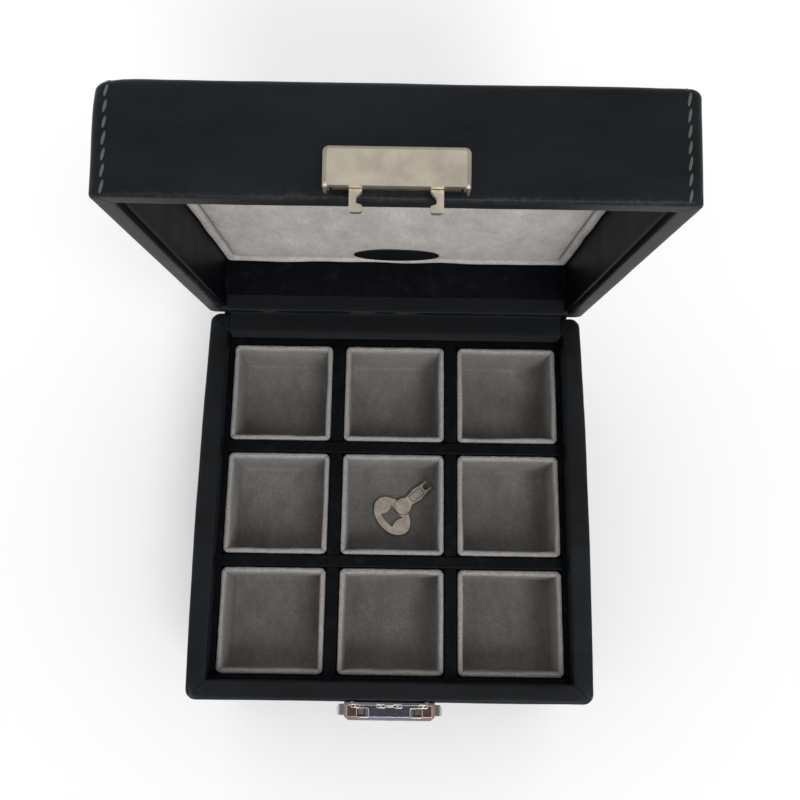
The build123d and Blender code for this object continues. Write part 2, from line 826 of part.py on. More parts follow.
def hasp_cover():
    """The stamped cover: rounded upper corners, bevelled face, open behind and below."""
    bottom = hinge_z + hasp_rise
    middle = bottom + hasp_height / 2
    hollow = hasp_depth - hasp_wall - hasp_bevel
    with BuildPart() as cover:
        with BuildSketch(Plane.XZ.offset(-(front_y - glue_gap))):
            with Locations((0, middle)):
                Rectangle(hasp_width, hasp_height)
        extrude(amount=hasp_depth)
        upper = cover.edges().filter_by(Axis.Y).group_by(Axis.Z)[-1]
        fillet(upper, hasp_corner)
        face_edges = cover.faces().sort_by(Axis.Y)[0].edges()
        chamfer(face_edges.sort_by(Axis.Z)[1:], hasp_bevel)
        with BuildSketch(Plane.XZ.offset(-(front_y - glue_gap))):
            with Locations((0, middle)):
                RectangleRounded(hasp_width - 2 * hasp_wall, hasp_height - 2 * hasp_wall,
                                 hasp_corner - hasp_wall)
        extrude(amount=hollow, mode=Mode.SUBTRACT)
        with BuildSketch(level(bottom)):
            with Locations((0, front_y - glue_gap - hollow / 2)):
                Rectangle(hasp_width - 2 * hasp_wall, hollow)
        extrude(amount=hasp_wall, mode=Mode.SUBTRACT)
        pip_y = front_y - hasp_depth + hasp_bevel / 2
        with Locations((-(hasp_width / 2 - hasp_pip), pip_y, bottom + hasp_pip / 2),
                       (hasp_width / 2 - hasp_pip, pip_y, bottom + hasp_pip / 2)):
            Sphere(hasp_pip)
    return swung(cover.part)


def hasp_rivets():
    under_head = front_y - glue_gap - hasp_flange
    return swung(rivets(hasp_rivet_spots(), under_head, hasp_flange + rivet_length))


# ---------------------------------------------------------------- drawer
def drawer_box():
    top = drawer_top - drawer_headroom
    width = drawer_front_width - 2 * glue_gap
    depth = drawer_back - drawer_box_front
    middle = (drawer_back + drawer_box_front) / 2
    with BuildPart() as box:
        with BuildSketch(level(drawer_bottom)):
            with Locations((0, middle)):
                Rectangle(width, depth)
        extrude(amount=top - drawer_bottom)
        with BuildSketch(level(drawer_bottom + drawer_floor)):
            with Locations((0, middle)):
                Rectangle(width - 2 * drawer_wall, depth - 2 * drawer_wall)
        extrude(amount=top - drawer_bottom, mode=Mode.SUBTRACT)
        hole = bars([(0, knob_z)], screw_radius + bore_clearance, drawer_box_front, drawer_wall)
        add(hole, mode=Mode.SUBTRACT)
        head_end = drawer_box_front + drawer_wall
        with BuildSketch(Plane.XZ.offset(-head_end)):
            with Locations((0, knob_z)):
                Circle(screw_head_radius + bore_clearance)
        extrude(amount=screw_head_length + bore_clearance, mode=Mode.SUBTRACT)
    return box.part


def drawer_front():
    with BuildPart() as board:
        with BuildSketch(Plane.XZ.offset(-(front_y + leather))):
            with Locations((0, (drawer_bottom + drawer_top) / 2)):
                Rectangle(drawer_front_width - 2 * drawer_edge_leather,
                          drawer_top - drawer_bottom - 2 * drawer_edge_leather)
            with Locations((0, knob_z)):
                Circle(screw_radius + bore_clearance, mode=Mode.SUBTRACT)
        extrude(amount=-drawer_front_board)
    return board.part


def drawer_front_leather():
    """Leather over the face of the drawer front and round its edges."""
    with BuildPart() as wrap:
        with BuildSketch(Plane.XZ.offset(-front_y)):
            with Locations((0, (drawer_bottom + drawer_top) / 2)):
                Rectangle(drawer_front_width, drawer_top - drawer_bottom)
        extrude(amount=-(leather + drawer_front_board))
        fillet(wrap.faces().sort_by(Axis.Y)[0].edges(), drawer_edge_round)
        with BuildSketch(Plane.XZ.offset(-(front_y + leather))):
            with Locations((0, (drawer_bottom + drawer_top) / 2)):
                Rectangle(drawer_front_width - 2 * drawer_edge_leather,
                          drawer_top - drawer_bottom - 2 * drawer_edge_leather)
        extrude(amount=-drawer_front_board, mode=Mode.SUBTRACT)
        hole = bars([(0, knob_z)], screw_radius + bore_clearance, front_y, leather)
        add(hole, mode=Mode.SUBTRACT)
    return wrap.part


def drawer_liner():
    outer_width = drawer_front_width - 2 * glue_gap - 2 * drawer_wall - 2 * slip_fit
    outer_depth = drawer_back - drawer_box_front - 2 * drawer_wall - 2 * slip_fit
    middle = (drawer_back + drawer_box_front) / 2
    bottom = drawer_bottom + drawer_floor + glue_gap
    top = drawer_top - drawer_headroom - drawer_liner_drop
    with BuildPart() as liner:
        with BuildSketch(level(bottom)):
            with Locations((0, middle)):
                RectangleRounded(outer_width, outer_depth, opening_radius)
        extrude(amount=top - bottom)
        with BuildSketch(level(bottom + drawer_liner_wall)):
            with Locations((0, middle)):
                Rectangle(outer_width - 2 * drawer_liner_wall, outer_depth - 2 * drawer_liner_wall)
        extrude(amount=top - bottom, mode=Mode.SUBTRACT)
    return liner.part


def drawer_knob():
    """A turned knob: flange, neck and ball, drilled for its screw."""
    ball_at = knob_length - knob_ball_radius
    join = math.sqrt(knob_ball_radius ** 2 - knob_neck_radius ** 2)
    with BuildPart() as knob:
        with BuildSketch(Plane(origin=(0, front_y, knob_z), x_dir=(1, 0, 0), z_dir=(0, 0, 1))):
            with BuildLine():
                Polyline((0, 0), (knob_flange_radius, 0), (knob_flange_radius, -knob_flange / 2),
                         (knob_neck_radius + knob_flange / 2, -knob_flange),
                         (knob_neck_radius, -2 * knob_flange), (knob_neck_radius, join - ball_at))
                ThreePointArc((knob_neck_radius, join - ball_at),
                              (knob_ball_radius, -ball_at), (0, -knob_length))
                Line((0, -knob_length), (0, 0))
            make_face()
        revolve(axis=Axis((0, front_y, knob_z), (0, 1, 0)))
        with BuildSketch(Plane.XZ.offset(-front_y)):
            with Locations((0, knob_z)):
                Circle(screw_radius + bore_clearance)
        extrude(amount=screw_in_knob + bore_clearance, mode=Mode.SUBTRACT)
    return knob.part


def knob_screw():
    """Screw from inside the drawer, its head sunk in the box's front wall."""
    head_end = drawer_box_front + drawer_wall - bore_clearance
    head_start = head_end - screw_head_length + 2 * bore_clearance
    with BuildPart() as screw:
        with BuildSketch(Plane.XZ.offset(-head_end)):
            with Locations((0, knob_z)):
                Circle(screw_head_radius)
        extrude(amount=head_end - head_start)
        with BuildSketch(Plane.XZ.offset(-head_end)):
            with Locations((0, knob_z)):
                Circle(screw_radius)
        extrude(amount=head_end - front_y + screw_in_knob)
        with BuildSketch(Plane.XZ.offset(-head_end)):
            with Locations((0, knob_z)):
                Rectangle(2 * screw_head_radius, screw_radius / 2)
        extrude(amount=screw_head_length / 2, mode=Mode.SUBTRACT)
    return screw.part


# ---------------------------------------------------------------- key
def key():
    """The fork key: an oval bow with a concave four-pointed eye and a raised shank."""
    lie = Plane(origin=(key_x, key_y, cup_floor_top + key_lie),
                x_dir=(math.cos(math.radians(key_angle)), math.sin(math.radians(key_angle)), 0),
                z_dir=(0, 0, 1))
    eye = [(key_eye_short, key_eye_long), (-key_eye_short, key_eye_long),
           (-key_eye_short, -key_eye_long), (key_eye_short, -key_eye_long)]
    inward = key_eye_long - key_eye_bulge
    outward = key_eye_short + key_eye_bulge / 2
    with BuildPart() as bow:
        with BuildSketch(lie):
            Ellipse(key_bow_short / 2, key_bow_long / 2)
            with BuildLine():
                ThreePointArc(eye[0], (0, inward), eye[1])
                ThreePointArc(eye[1], (-outward, 0), eye[2])
                ThreePointArc(eye[2], (0, -inward), eye[3])
                ThreePointArc(eye[3], (key_eye_short - key_eye_bulge / 2, 0), eye[0])
            make_face(mode=Mode.SUBTRACT)
        extrude(amount=key_bow_thickness)
        chamfer(bow.edges().group_by(Axis.Z)[-1].sort_by(Edge.length)[-1], key_bevel)
    with BuildPart() as shank:
        with BuildSketch(lie):
            with Locations((key_head_at, 0)):
                Circle(key_head_radius)
            with BuildLine():
                Polyline((key_head_at, -key_head_radius), (key_neck_at, -key_neck_width / 2),
                         (key_waist_at, -key_waist_width / 2), (key_fork_at, -key_tip_width / 2),
                         (key_tip_at, -key_tip_width / 2), (key_tip_at, key_tip_width / 2),
                         (key_fork_at, key_tip_width / 2), (key_waist_at, key_waist_width / 2),
                         (key_neck_at, key_neck_width / 2), (key_head_at, key_head_radius),
                         close=True)
            make_face()
            notch_length = key_tip_at - key_notch_floor
            with Locations((key_notch_floor + notch_length / 2, 0)):
                Rectangle(notch_length, key_notch_width, mode=Mode.SUBTRACT)
            with Locations((key_notch_floor, 0)):
                Circle(key_notch_width / 2, mode=Mode.SUBTRACT)
        extrude(amount=key_thickness)
        chamfer(shank.faces().sort_by(Axis.Z)[-1].edges(), key_bevel)
        add(bow.part)
    return shank.part


# ---------------------------------------------------------------- build and write
def build_all():
    columns_named = ("left", "middle", "right")
    rows_named = ("front", "centre", "back")
    pieces = {
        "base_felt": base_felt(),
        "bottom_board": bottom_board(),
        "wall_left": side_wall(-1),
        "wall_right": side_wall(1),
        "wall_back": back_wall(),
        "front_rail": front_rail(),
        "tray_board": tray_board(),
        "base_leather": base_leather(),
        "tray_lining": tray_lining(),
        "lock_back_plate": lock_back_plate(),
        "lock_case": lock_case(),
        "lock_rivets": lock_rivets(),
        "lock_rotor": lock_rotor(),
        "button_left": button(-1),
        "button_right": button(1),
        "catch_spring": catch_spring(),
        "hinge_strip": hinge_strip(),
        "hinge_spine": hinge_spine(),
        "lid_board": lid_board(),
        "lid_leather": lid_leather(),
        "lid_side_lining": lid_side_lining(),
        "lid_pad_border": lid_pad_border(),
        "lid_pad": lid_pad(),
        "lid_label": lid_label(),
        "hasp_hooks": hasp_hooks(),
        "hasp_cover": hasp_cover(),
        "hasp_rivets": hasp_rivets(),
        "drawer_box": drawer_box(),
        "drawer_front": drawer_front(),
        "drawer_front_leather": drawer_front_leather(),
        "drawer_liner": drawer_liner(),
        "drawer_knob": drawer_knob(),
        "knob_screw": knob_screw(),
        "key": key(),
    }
    for name in ("front", "back", "left", "right"):
        pieces[f"lid_wall_{name}"] = lid_wall(name)
    for row in range(rows - 1):
        pieces[f"divider_long_{row + 1}"] = long_divider(row)
    for column in range(columns - 1):
        pieces[f"divider_cross_{column + 1}"] = cross_divider(column)
    for row in range(rows):
        for column in range(columns):
            name = f"cup_{rows_named[row]}_{columns_named[column]}"
            pieces[name] = cup(column, row)
    return pieces


os.makedirs("parts", exist_ok=True)
for piece_name, piece in build_all().items():
    piece.label = piece_name
    export_step(piece, f"parts/{piece_name}.step")
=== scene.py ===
"""Dresses the cufflink box: leather, suede cups and lid pad, cloth hinge, stitches and metalwork.

Mesh code works in millimetres.  Pieces of the lid are drawn with the lid shut and then swung open.
"""
import json
import math

import bmesh
import bpy
import numpy as np
from bpy.props import FloatProperty, FloatVectorProperty, PointerProperty
from mathutils import Matrix, Vector


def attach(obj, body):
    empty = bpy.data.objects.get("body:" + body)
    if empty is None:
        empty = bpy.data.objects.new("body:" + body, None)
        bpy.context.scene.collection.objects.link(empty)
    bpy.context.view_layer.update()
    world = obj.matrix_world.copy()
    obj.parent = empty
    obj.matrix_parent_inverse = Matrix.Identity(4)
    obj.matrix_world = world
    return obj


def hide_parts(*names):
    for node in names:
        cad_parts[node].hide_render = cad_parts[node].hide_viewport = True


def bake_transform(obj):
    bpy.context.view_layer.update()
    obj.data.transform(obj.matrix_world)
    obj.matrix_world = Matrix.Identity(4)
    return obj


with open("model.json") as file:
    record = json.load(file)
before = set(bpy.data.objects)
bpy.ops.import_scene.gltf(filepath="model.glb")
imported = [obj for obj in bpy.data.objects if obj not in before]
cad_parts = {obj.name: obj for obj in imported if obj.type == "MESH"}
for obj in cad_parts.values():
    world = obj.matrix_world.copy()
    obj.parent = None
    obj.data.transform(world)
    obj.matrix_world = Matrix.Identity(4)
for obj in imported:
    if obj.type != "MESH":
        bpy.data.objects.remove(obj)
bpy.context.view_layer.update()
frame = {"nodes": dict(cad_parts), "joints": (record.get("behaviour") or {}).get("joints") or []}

bl_info = {
    "name": "Cufflink Box",
    "version": (1, 0, 0),
    "blender": (4, 5, 0),
    "location": "View3D > Sidebar > Cufflink Box",
    "description": "Builds the soft parts and finishes of a cufflink box round its CAD model",
    "category": "Object",
}

MM = 0.001
LID_JOINT = next(j for j in frame["joints"] if j["name"] == "lid_hinge")
OPEN_ANGLE = math.radians(-LID_JOINT["range_deg"][0])
HINGE_Y, HINGE_Z = (place / MM for place in LID_JOINT["pos_m"][1:])

BASE_RIM = 6.2    # leather, board and leather, across the base's rim
LID_RIM = 5.2
HOOK_X = 8.45     # where the shut lid's hooks stand in the lock
HOOK_Y = -68.05
LABEL_Y = 48.0    # with the lid shut
KEY_X, KEY_Y, KEY_TURN = -0.2, -2.4, math.radians(41.4)

# Fractions of a corner's arc, closest together at its middle, where folds and mitres fall.
ARC = np.array([0, 0.14, 0.28, 0.38, 0.45, 0.48, 0.5, 0.52, 0.55, 0.62, 0.72, 0.86, 1.0])


# ---------------------------------------------------------------- sizes and colours
def millimetres(name, description, default):
    """A length property; the value is kept in metres and shown in the scene's units."""
    return FloatProperty(name=name, description=description, default=default * MM,
                         min=0.0, subtype="DISTANCE", unit="LENGTH", precision=5)


def colour(name, description, default):
    return FloatVectorProperty(name=name, description=description, default=default,
                               size=3, min=0.0, max=1.0, subtype="COLOR")


class CUFFBOX_PG_leather(bpy.types.PropertyGroup):
    thickness: millimetres("Thickness", "Thickness of the leather wrap", 0.8)
    grain: millimetres("Grain", "Size of one pebble of the leather's grain", 0.55)
    slackness: millimetres("Slackness", "How far the leather stands off its board in places", 0.07)
    fold_depth: millimetres("Fold depth", "Depth of the folds at the corners of the rims", 0.28)
    bow: millimetres("Bow", "How far the base's sides stand out at the middle", 0.9)
    tint: colour("Leather", "Colour of the leather", (0.0036, 0.0052, 0.0070))


class CUFFBOX_PG_stitching(bpy.types.PropertyGroup):
    pitch: millimetres("Pitch", "Distance from one stitch to the next", 3.45)
    length: millimetres("Length", "Length of one stitch", 3.1)
    thread: millimetres("Thread", "Thickness of the thread", 0.72)
    margin: millimetres("Margin", "Distance of the stitches from the lid's side", 3.3)
    lean: FloatProperty(name="Lean", description="How far each stitch leans across its line",
                        default=math.radians(11), subtype="ANGLE", unit="ROTATION")
    tint: colour("Thread", "Colour of the thread", (0.085, 0.096, 0.102))


class CUFFBOX_PG_suede(bpy.types.PropertyGroup):
    cup_wall: millimetres("Cup wall", "Thickness of a cup's padded wall", 1.7)
    cup_depth: millimetres("Cup depth", "Depth of a cup, from its rim to its floor", 20.7)
    unevenness: millimetres("Unevenness", "How far the cups' edges wander", 0.16)
    slit: millimetres("Slit", "Depth of the slits where two wall strips meet", 0.9)
    pad_fill: FloatProperty(name="Pad fill", description="How full the lid's pad is, up to 1",
                            default=0.45, min=0.0, max=1.0, subtype="FACTOR")
    cup_tint: colour("Cups", "Colour of the suede in cups and drawer", (0.265, 0.252, 0.240))
    # Painted light: the lid's lining is the cups' suede, painted paler because it is lit.
    lid_tint: colour("Lid lining", "Colour of the suede in the lid", (0.640, 0.606, 0.575))


class CUFFBOX_PG_metal(bpy.types.PropertyGroup):
    satin: colour("Satin nickel", "Colour of the hasp and the key", (0.62, 0.560, 0.455))
    bright: colour("Bright nickel", "Colour of the lock and the knob", (0.66, 0.63, 0.60))


class CUFFBOX_PG_studio(bpy.types.PropertyGroup):
    floor_size: FloatProperty(name="Floor", description="Width of the floor", default=4.0,
                              min=0.5, subtype="DISTANCE", unit="LENGTH")
    focal_length: FloatProperty(name="Focal length", description="Focal length of the camera",
                                default=40.74, min=10.0, unit="CAMERA")
    ambient: FloatProperty(name="Ambient", description="Strength of the even light", default=0.70,
                           min=0.0)
    key_light: FloatProperty(name="Key light", description="Strength of the soft lamps in front",
                             default=1.25, min=0.0)


# ---------------------------------------------------------------- placing
def on_lid(inward, above):
    """Y and Z of points of the open lid, given from the hinge line with the lid shut."""
    turn_cos, turn_sin = math.cos(OPEN_ANGLE), math.sin(OPEN_ANGLE)
    return (HINGE_Y - inward * turn_cos + above * turn_sin,
            HINGE_Z + inward * turn_sin + above * turn_cos)


def swing(points):
    """Turns points of the shut lid to where they are with the lid open."""
    y, z = on_lid(HINGE_Y - points[:, 1], points[:, 2] - HINGE_Z)
    return np.column_stack([points[:, 0], y, z])


def swing_back(points):
    """The reverse of swing."""
    dy = points[:, 1] - HINGE_Y
    dz = points[:, 2] - HINGE_Z
    turn_cos, turn_sin = math.cos(OPEN_ANGLE), math.sin(OPEN_ANGLE)
    inward = -dy * turn_cos + dz * turn_sin
    above = dy * turn_sin + dz * turn_cos
    return np.column_stack([points[:, 0], HINGE_Y - inward, HINGE_Z + above])


def vertex_points(thing):
    """An object's vertices in millimetres."""
    flat = np.zeros(len(thing.data.vertices) * 3)
    thing.data.vertices.foreach_get("co", flat)
    return flat.reshape(-1, 3) / MM


def extent(node, shut=False):
    """Lowest and highest corner of a CAD node in millimetres, with the lid shut if asked."""
    points = vertex_points(frame["nodes"][node])
    if shut:
        points = swing_back(points)
    return points.min(0), points.max(0)


# ---------------------------------------------------------------- mesh helpers
def ripple(points, size, seed):
    """Smooth noise of about -1 to 1 over points, in swells of about that size."""
    draw = np.random.default_rng(seed)
    waves = draw.normal(size=(9, 3))
    waves /= np.linalg.norm(waves, axis=1)[:, None]
    waves *= 2 * math.pi / size * draw.uniform(0.6, 1.6, (9, 1))
    phases = draw.uniform(0, 2 * math.pi, 9)
    return np.sin(points @ waves.T + phases).sum(1) / 3.0


def outline(width, depth, radius, side_steps):
    """Points round a rounded rectangle, in the same number whatever its size."""
    along = np.linspace(0, 1, side_steps + 2)[1:-1]
    straight_x, straight_y = width / 2 - radius, depth / 2 - radius
    corners = [(1, -1, -90), (1, 1, 0), (-1, 1, 90), (-1, -1, 180)]
    starts = [(-1, -1), (1, -1), (1, 1), (-1, 1)]
    offsets = [(0, -1), (1, 0), (0, 1), (-1, 0)]
    rows = []
    for (cx, cy, first), (sx, sy), (ox, oy) in zip(corners, starts, offsets):
        begin = np.array([sx * straight_x + ox * radius, sy * straight_y + oy * radius])
        end = np.array([cx * straight_x + ox * radius, cy * straight_y + oy * radius])
        rows.append(begin + (end - begin) * along[:, None])
        angle = np.radians(first + 90 * ARC)
        rows.append(np.column_stack([cx * straight_x + radius * np.cos(angle),
                                     cy * straight_y + radius * np.sin(angle)]))
    return np.vstack(rows)


def corner_marks(side_steps, spread):
    """For each point of an outline, how near it is to a corner's middle, and which corner."""
    near, which = [], []
    for corner in range(4):
        near += [0.0] * side_steps + list(np.exp(-((ARC - 0.5) / spread) ** 2))
        which += [corner] * (side_steps + len(ARC))
    return np.array(near), np.array(which)


def ring_stack(profile, width, depth, side_steps, centre=(0.0, 0.0)):
    """One ring of points for each (inset, height, radius) of a profile."""
    rings = []
    for inset, height, radius in profile:
        flat = outline(width - 2 * inset, depth - 2 * inset, radius, side_steps)
        rings.append(np.column_stack([flat + np.array(centre), np.full(len(flat), height)]))
    return rings


def ring_faces(ring_count, ring_length, close_profile=False):
    """Quads between rings that follow each other."""
    faces = []
    for i in range(ring_count if close_profile else ring_count - 1):
        low, high = i * ring_length, ((i + 1) % ring_count) * ring_length
        for j in range(ring_length):
            k = (j + 1) % ring_length
            faces.append((low + j, low + k, high + k, high + j))
    return faces


def skin_faces(rings, ends):
    """Quads between the rings of a skin, and a face over its "first" or "last" ring or both."""
    length = len(rings[0])
    faces = ring_faces(len(rings), length)
    if "first" in ends:
        faces.append(tuple(range(length)))
    if "last" in ends:
        faces.append(tuple(range((len(rings) - 1) * length, len(rings) * length)))
    return faces


def add_piece(name, points, faces, finish, sharp_angle=50.0):
    """A mesh object at the origin from points in millimetres, its faces turned outwards."""
    mesh = bpy.data.meshes.new(name)
    mesh.from_pydata((np.asarray(points) * MM).tolist(), [], faces)
    work = bmesh.new()
    work.from_mesh(mesh)
    bmesh.ops.remove_doubles(work, verts=work.verts, dist=1e-7)
    bmesh.ops.recalc_face_normals(work, faces=work.faces)
    work.to_mesh(mesh)
    work.free()
    mesh.shade_smooth()
    mesh.set_sharp_from_angle(angle=math.radians(sharp_angle))
    mesh.materials.append(finish)
    piece = bpy.data.objects.new(name, mesh)
    bpy.context.scene.collection.objects.link(piece)
    return piece


def apply_modifiers(piece):
    """Swaps the piece's mesh for the one its modifiers make."""
    graph = bpy.context.evaluated_depsgraph_get()
    made = bpy.data.meshes.new_from_object(piece.evaluated_get(graph))
    old = piece.data
    piece.modifiers.clear()
    piece.data = made
    made.name = piece.name
    bpy.data.meshes.remove(old)


def thicken(piece, thickness):
    """Gives a skin its thickness, inwards from its outer face."""
    solidify = piece.modifiers.new("thickness", "SOLIDIFY")
    solidify.thickness = thickness * MM
    solidify.offset = -1.0
    solidify.use_even_offset = True
    apply_modifiers(piece)


def cut_box(piece, low, high):
    """Cuts a box, given by two corners in millimetres, out of a closed piece."""
    low, high = np.array(low), np.array(high)
    mesh = bpy.data.meshes.new("cutter")
    work = bmesh.new()
    bmesh.ops.create_cube(work, size=1.0)
    for vertex in work.verts:
        share = np.array(vertex.co) + 0.5
        vertex.co = Vector((low + (high - low) * share) * MM)
    work.to_mesh(mesh)
    work.free()
    cutter = bpy.data.objects.new("cutter", mesh)
    bpy.context.scene.collection.objects.link(cutter)
    cut = piece.modifiers.new("cut", "BOOLEAN")
    cut.operation = "DIFFERENCE"
    cut.solver = "EXACT"
    cut.object = cutter
    apply_modifiers(piece)
    bpy.data.objects.remove(cutter)


def stand_for(piece, body, node):
    """Puts a piece on its body and hides the CAD node it stands in for."""
    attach(piece, body)
    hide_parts(node)


def mark(piece, name, values):
    """Keeps one number for each vertex, which a material can read."""
    attribute = piece.data.attributes.new(name, "FLOAT", "POINT")
    attribute.data.foreach_set("value", np.asarray(values, np.float32))


# ---------------------------------------------------------------- shader helpers
class Wire:
    """A shader socket on which sums can be written."""

    def __init__(self, finish, socket):
        self.finish = finish
        self.socket = socket

    def _math(self, operation, *values):
        return self.finish.node("ShaderNodeMath", {"operation": operation},
                                dict(enumerate(values)))

    def __add__(self, other):
        return self._math("ADD", self, other)

    def __sub__(self, other):
        return self._math("SUBTRACT", self, other)

    def __rsub__(self, other):
        return self._math("SUBTRACT", other, self)

    def __mul__(self, other):
        return self._math("MULTIPLY", self, other)

    __radd__ = __add__
    __rmul__ = __mul__

    def sine(self):
        return self._math("SINE", self)

    def held(self):
        """The value held between 0 and 1."""
        return self.finish.node("ShaderNodeClamp", {}, {"Value": self})

    def span(self, low, high):
        """0 at low, 1 at high, straight between."""
        return self.finish.node("ShaderNodeMapRange", {"clamp": True},
                                {"Value": self, "From Min": low, "From Max": high})


class Finish:
    """A material, or the world, and the short ways to wire it."""

    def __init__(self, name, kind="materials"):
        self.material = getattr(bpy.data, kind).new(name)
        self.material.use_nodes = True
        self.tree = self.material.node_tree
        self.tree.nodes.clear()

    def node(self, kind, settings, values, output=0):
        """Adds a node: its settings first, then the values or links of its sockets."""
        made = self.tree.nodes.new(kind)
        for key, value in settings.items():
            setattr(made, key, value)
        for key, value in values.items():
            socket = made.inputs[key]
            if isinstance(value, Wire):
                self.tree.links.new(value.socket, socket)
            elif socket.type == "RGBA":
                socket.default_value = (*value, 1.0)
            else:
                socket.default_value = value
        return Wire(self, made.outputs[output]) if len(made.outputs) else None

    def place(self, scale=(1.0, 1.0, 1.0)):
        """Object coordinates, stretched."""
        where = self.node("ShaderNodeTexCoord", {}, {}, "Object")
        return self.node("ShaderNodeMapping", {}, {"Vector": where, "Scale": scale})

    def axis(self, letter, scale=(1.0, 1.0, 1.0)):
        """One of the object coordinates, stretched."""
        return self.node("ShaderNodeSeparateXYZ", {}, {0: self.place(scale)}, letter)

    def noise(self, where, size, detail=3.0, rough=0.55):
        """Noise in blotches of about that size in millimetres."""
        return self.node("ShaderNodeTexNoise", {},
                         {"Vector": where, "Scale": 1.0 / (size * MM), "Detail": detail,
                          "Roughness": rough})

    def mix(self, share, one, two):
        """A colour between two colours."""
        return self.node("ShaderNodeMix", {"data_type": "RGBA"}, {0: share, 6: one, 7: two}, 2)

    def attribute(self, name):
        return self.node("ShaderNodeAttribute", {"attribute_name": name}, {}, "Fac")

    def bump(self, height, distance, strength=1.0):
        """Relief of that depth in millimetres."""
        return self.node("ShaderNodeBump", {},
                         {"Height": height, "Distance": distance * MM, "Strength": strength})

    def surface(self, **values):
        """The main shader, its sockets named with spaces as underscores."""
        shader = self.node("ShaderNodeBsdfPrincipled", {},
                           {key.replace("_", " "): value for key, value in values.items()})
        self.node("ShaderNodeOutputMaterial", {}, {"Surface": shader})
        return self.material


def finish(name):
    """The named finish, made the first time it is asked for; the frame has its own plain ones."""
    label = name + "_finish"
    return bpy.data.materials.get(label) or FINISHES[name](label)


def paint(node, name):
    """Gives a CAD node a finish."""
    thing = frame["nodes"][node]
    if not thing.material_slots:
        thing.data.materials.append(finish(name))
    for slot in thing.material_slots:
        slot.material = finish(name)


# ---------------------------------------------------------------- finishes
def black_leather(name):
    """Smooth calf over board: a fine grain, a soft sheen, worn corners and a painted highlight
    along the lid's front rim.
    """
    look = bpy.context.scene.cuffbox_leather
    f = Finish(name)
    where = f.place()
    pebbles = f.node("ShaderNodeTexVoronoi", {"feature": "SMOOTH_F1"},
                     {"Vector": where, "Scale": 1.0 / look.grain, "Smoothness": 0.4})
    creases = f.noise(where, 3.0, 4.0)
    clouds = f.noise(where, 38.0, 2.0)
    streaks = f.noise(f.place((0.35, 1.0, 1.0)), 9.0, 4.0, 0.65)
    wrinkles = f.noise(f.place((0.10, 1.0, 1.0)), 1.5, 3.0, 0.6)
    creased = f.attribute("creased")
    ridges = (wrinkles.span(0.47, 0.60) * creased).held()
    # Lighter where the leather is worn on the base's front corners, and along the lid's front rim,
    # where the lightening is a painted highlight.
    wear_and_highlight = (f.attribute("wear_and_highlight") * f.noise(where, 1.2, 3.0).span(0.42, 0.62)).held()
    tint = np.array(look.tint)
    shade = (clouds * 0.5 + streaks * 0.5).span(0.34, 0.66)
    base = f.mix(shade, tuple(tint * 0.60), tuple(tint * 1.65))
    base = f.mix(ridges * 0.8, base, (0.055, 0.059, 0.064))
    base = f.mix(wear_and_highlight * 0.75, base, (0.11, 0.115, 0.12))
    relief = pebbles * 0.5 + creases * 0.8 + ridges * 1.3
    return f.surface(
        Base_Color=base,
        Roughness=0.34 + clouds * 0.12 + streaks * 0.12 + wear_and_highlight * 0.25,
        Specular_IOR_Level=0.15,
        Coat_Weight=shade * 0.11,
        Coat_Roughness=0.28,
        Normal=f.bump(relief, 0.10, 0.55))


def suede(name, tint, lift):
    """Soft suede: a short nap, brushed lighter and darker, with a painted highlight that makes
    rolled rims paler.
    """
    f = Finish(name)
    where = f.place()
    nap = f.noise(where, 0.62, 5.0, 0.75)
    tufts = f.noise(where, 2.4, 3.0, 0.6)
    brushed = f.noise(f.place((1.0, 0.55, 0.45)), 7.0, 5.0, 0.68)
    patches = f.noise(where, 26.0, 2.0)
    rim_highlight = f.attribute("rim_highlight")
    shade = (brushed * 0.6 + patches * 0.25 + tufts * 0.15).span(0.36, 0.64)
    tint = np.array(tint)
    base = f.mix(shade, tuple(tint * 0.76), tuple(tint * 1.20))
    # Painted highlight: the rims are painted paler, standing in for light catching the nap.
    base = f.mix((rim_highlight * lift).held(), base, tuple(np.minimum(tint * 1.75, 1.0)))
    base = f.mix(nap.span(0.42, 0.64) * 0.58, base, tuple(tint * 0.48))
    return f.surface(
        Base_Color=base,
        Roughness=0.90 + nap * 0.08,
        Specular_IOR_Level=0.12,
        Sheen_Weight=0.18,
        Sheen_Roughness=0.45,
        Normal=f.bump(nap * 1.1 + tufts * 0.5 + brushed * 0.4, 0.35, 0.9))


def cup_suede(name):
    return suede(name, bpy.context.scene.cuffbox_suede.cup_tint, 0.75)


# The cups' suede, painted paler as a lit copy for the lid lining.
def lid_suede(name):
    return suede(name, bpy.context.scene.cuffbox_suede.lid_tint, 0.10)


def black_card(name):
    """Black paper-covered card, with lighter patches painted in as the sheen of handled places."""
    f = Finish(name)
    where = f.place()
    grain = f.noise(where, 0.5, 3.0)
    clouds = f.noise(where, 14.0, 3.0)
    painted_sheen = f.noise(where, 5.5, 5.0, 0.68).span(0.50, 0.72)
    base = f.mix(clouds, (0.0009, 0.0013, 0.0022), (0.0022, 0.0030, 0.0044))
    return f.surface(
        # Painted highlight: lighter patches stand in for the card's sheen.
        Base_Color=f.mix(painted_sheen * 0.8, base, (0.0080, 0.0095, 0.0120)),
        Roughness=0.34 + clouds * 0.22,
        Specular_IOR_Level=0.08,
        Normal=f.bump(grain + clouds * 0.6, 0.06, 0.6))


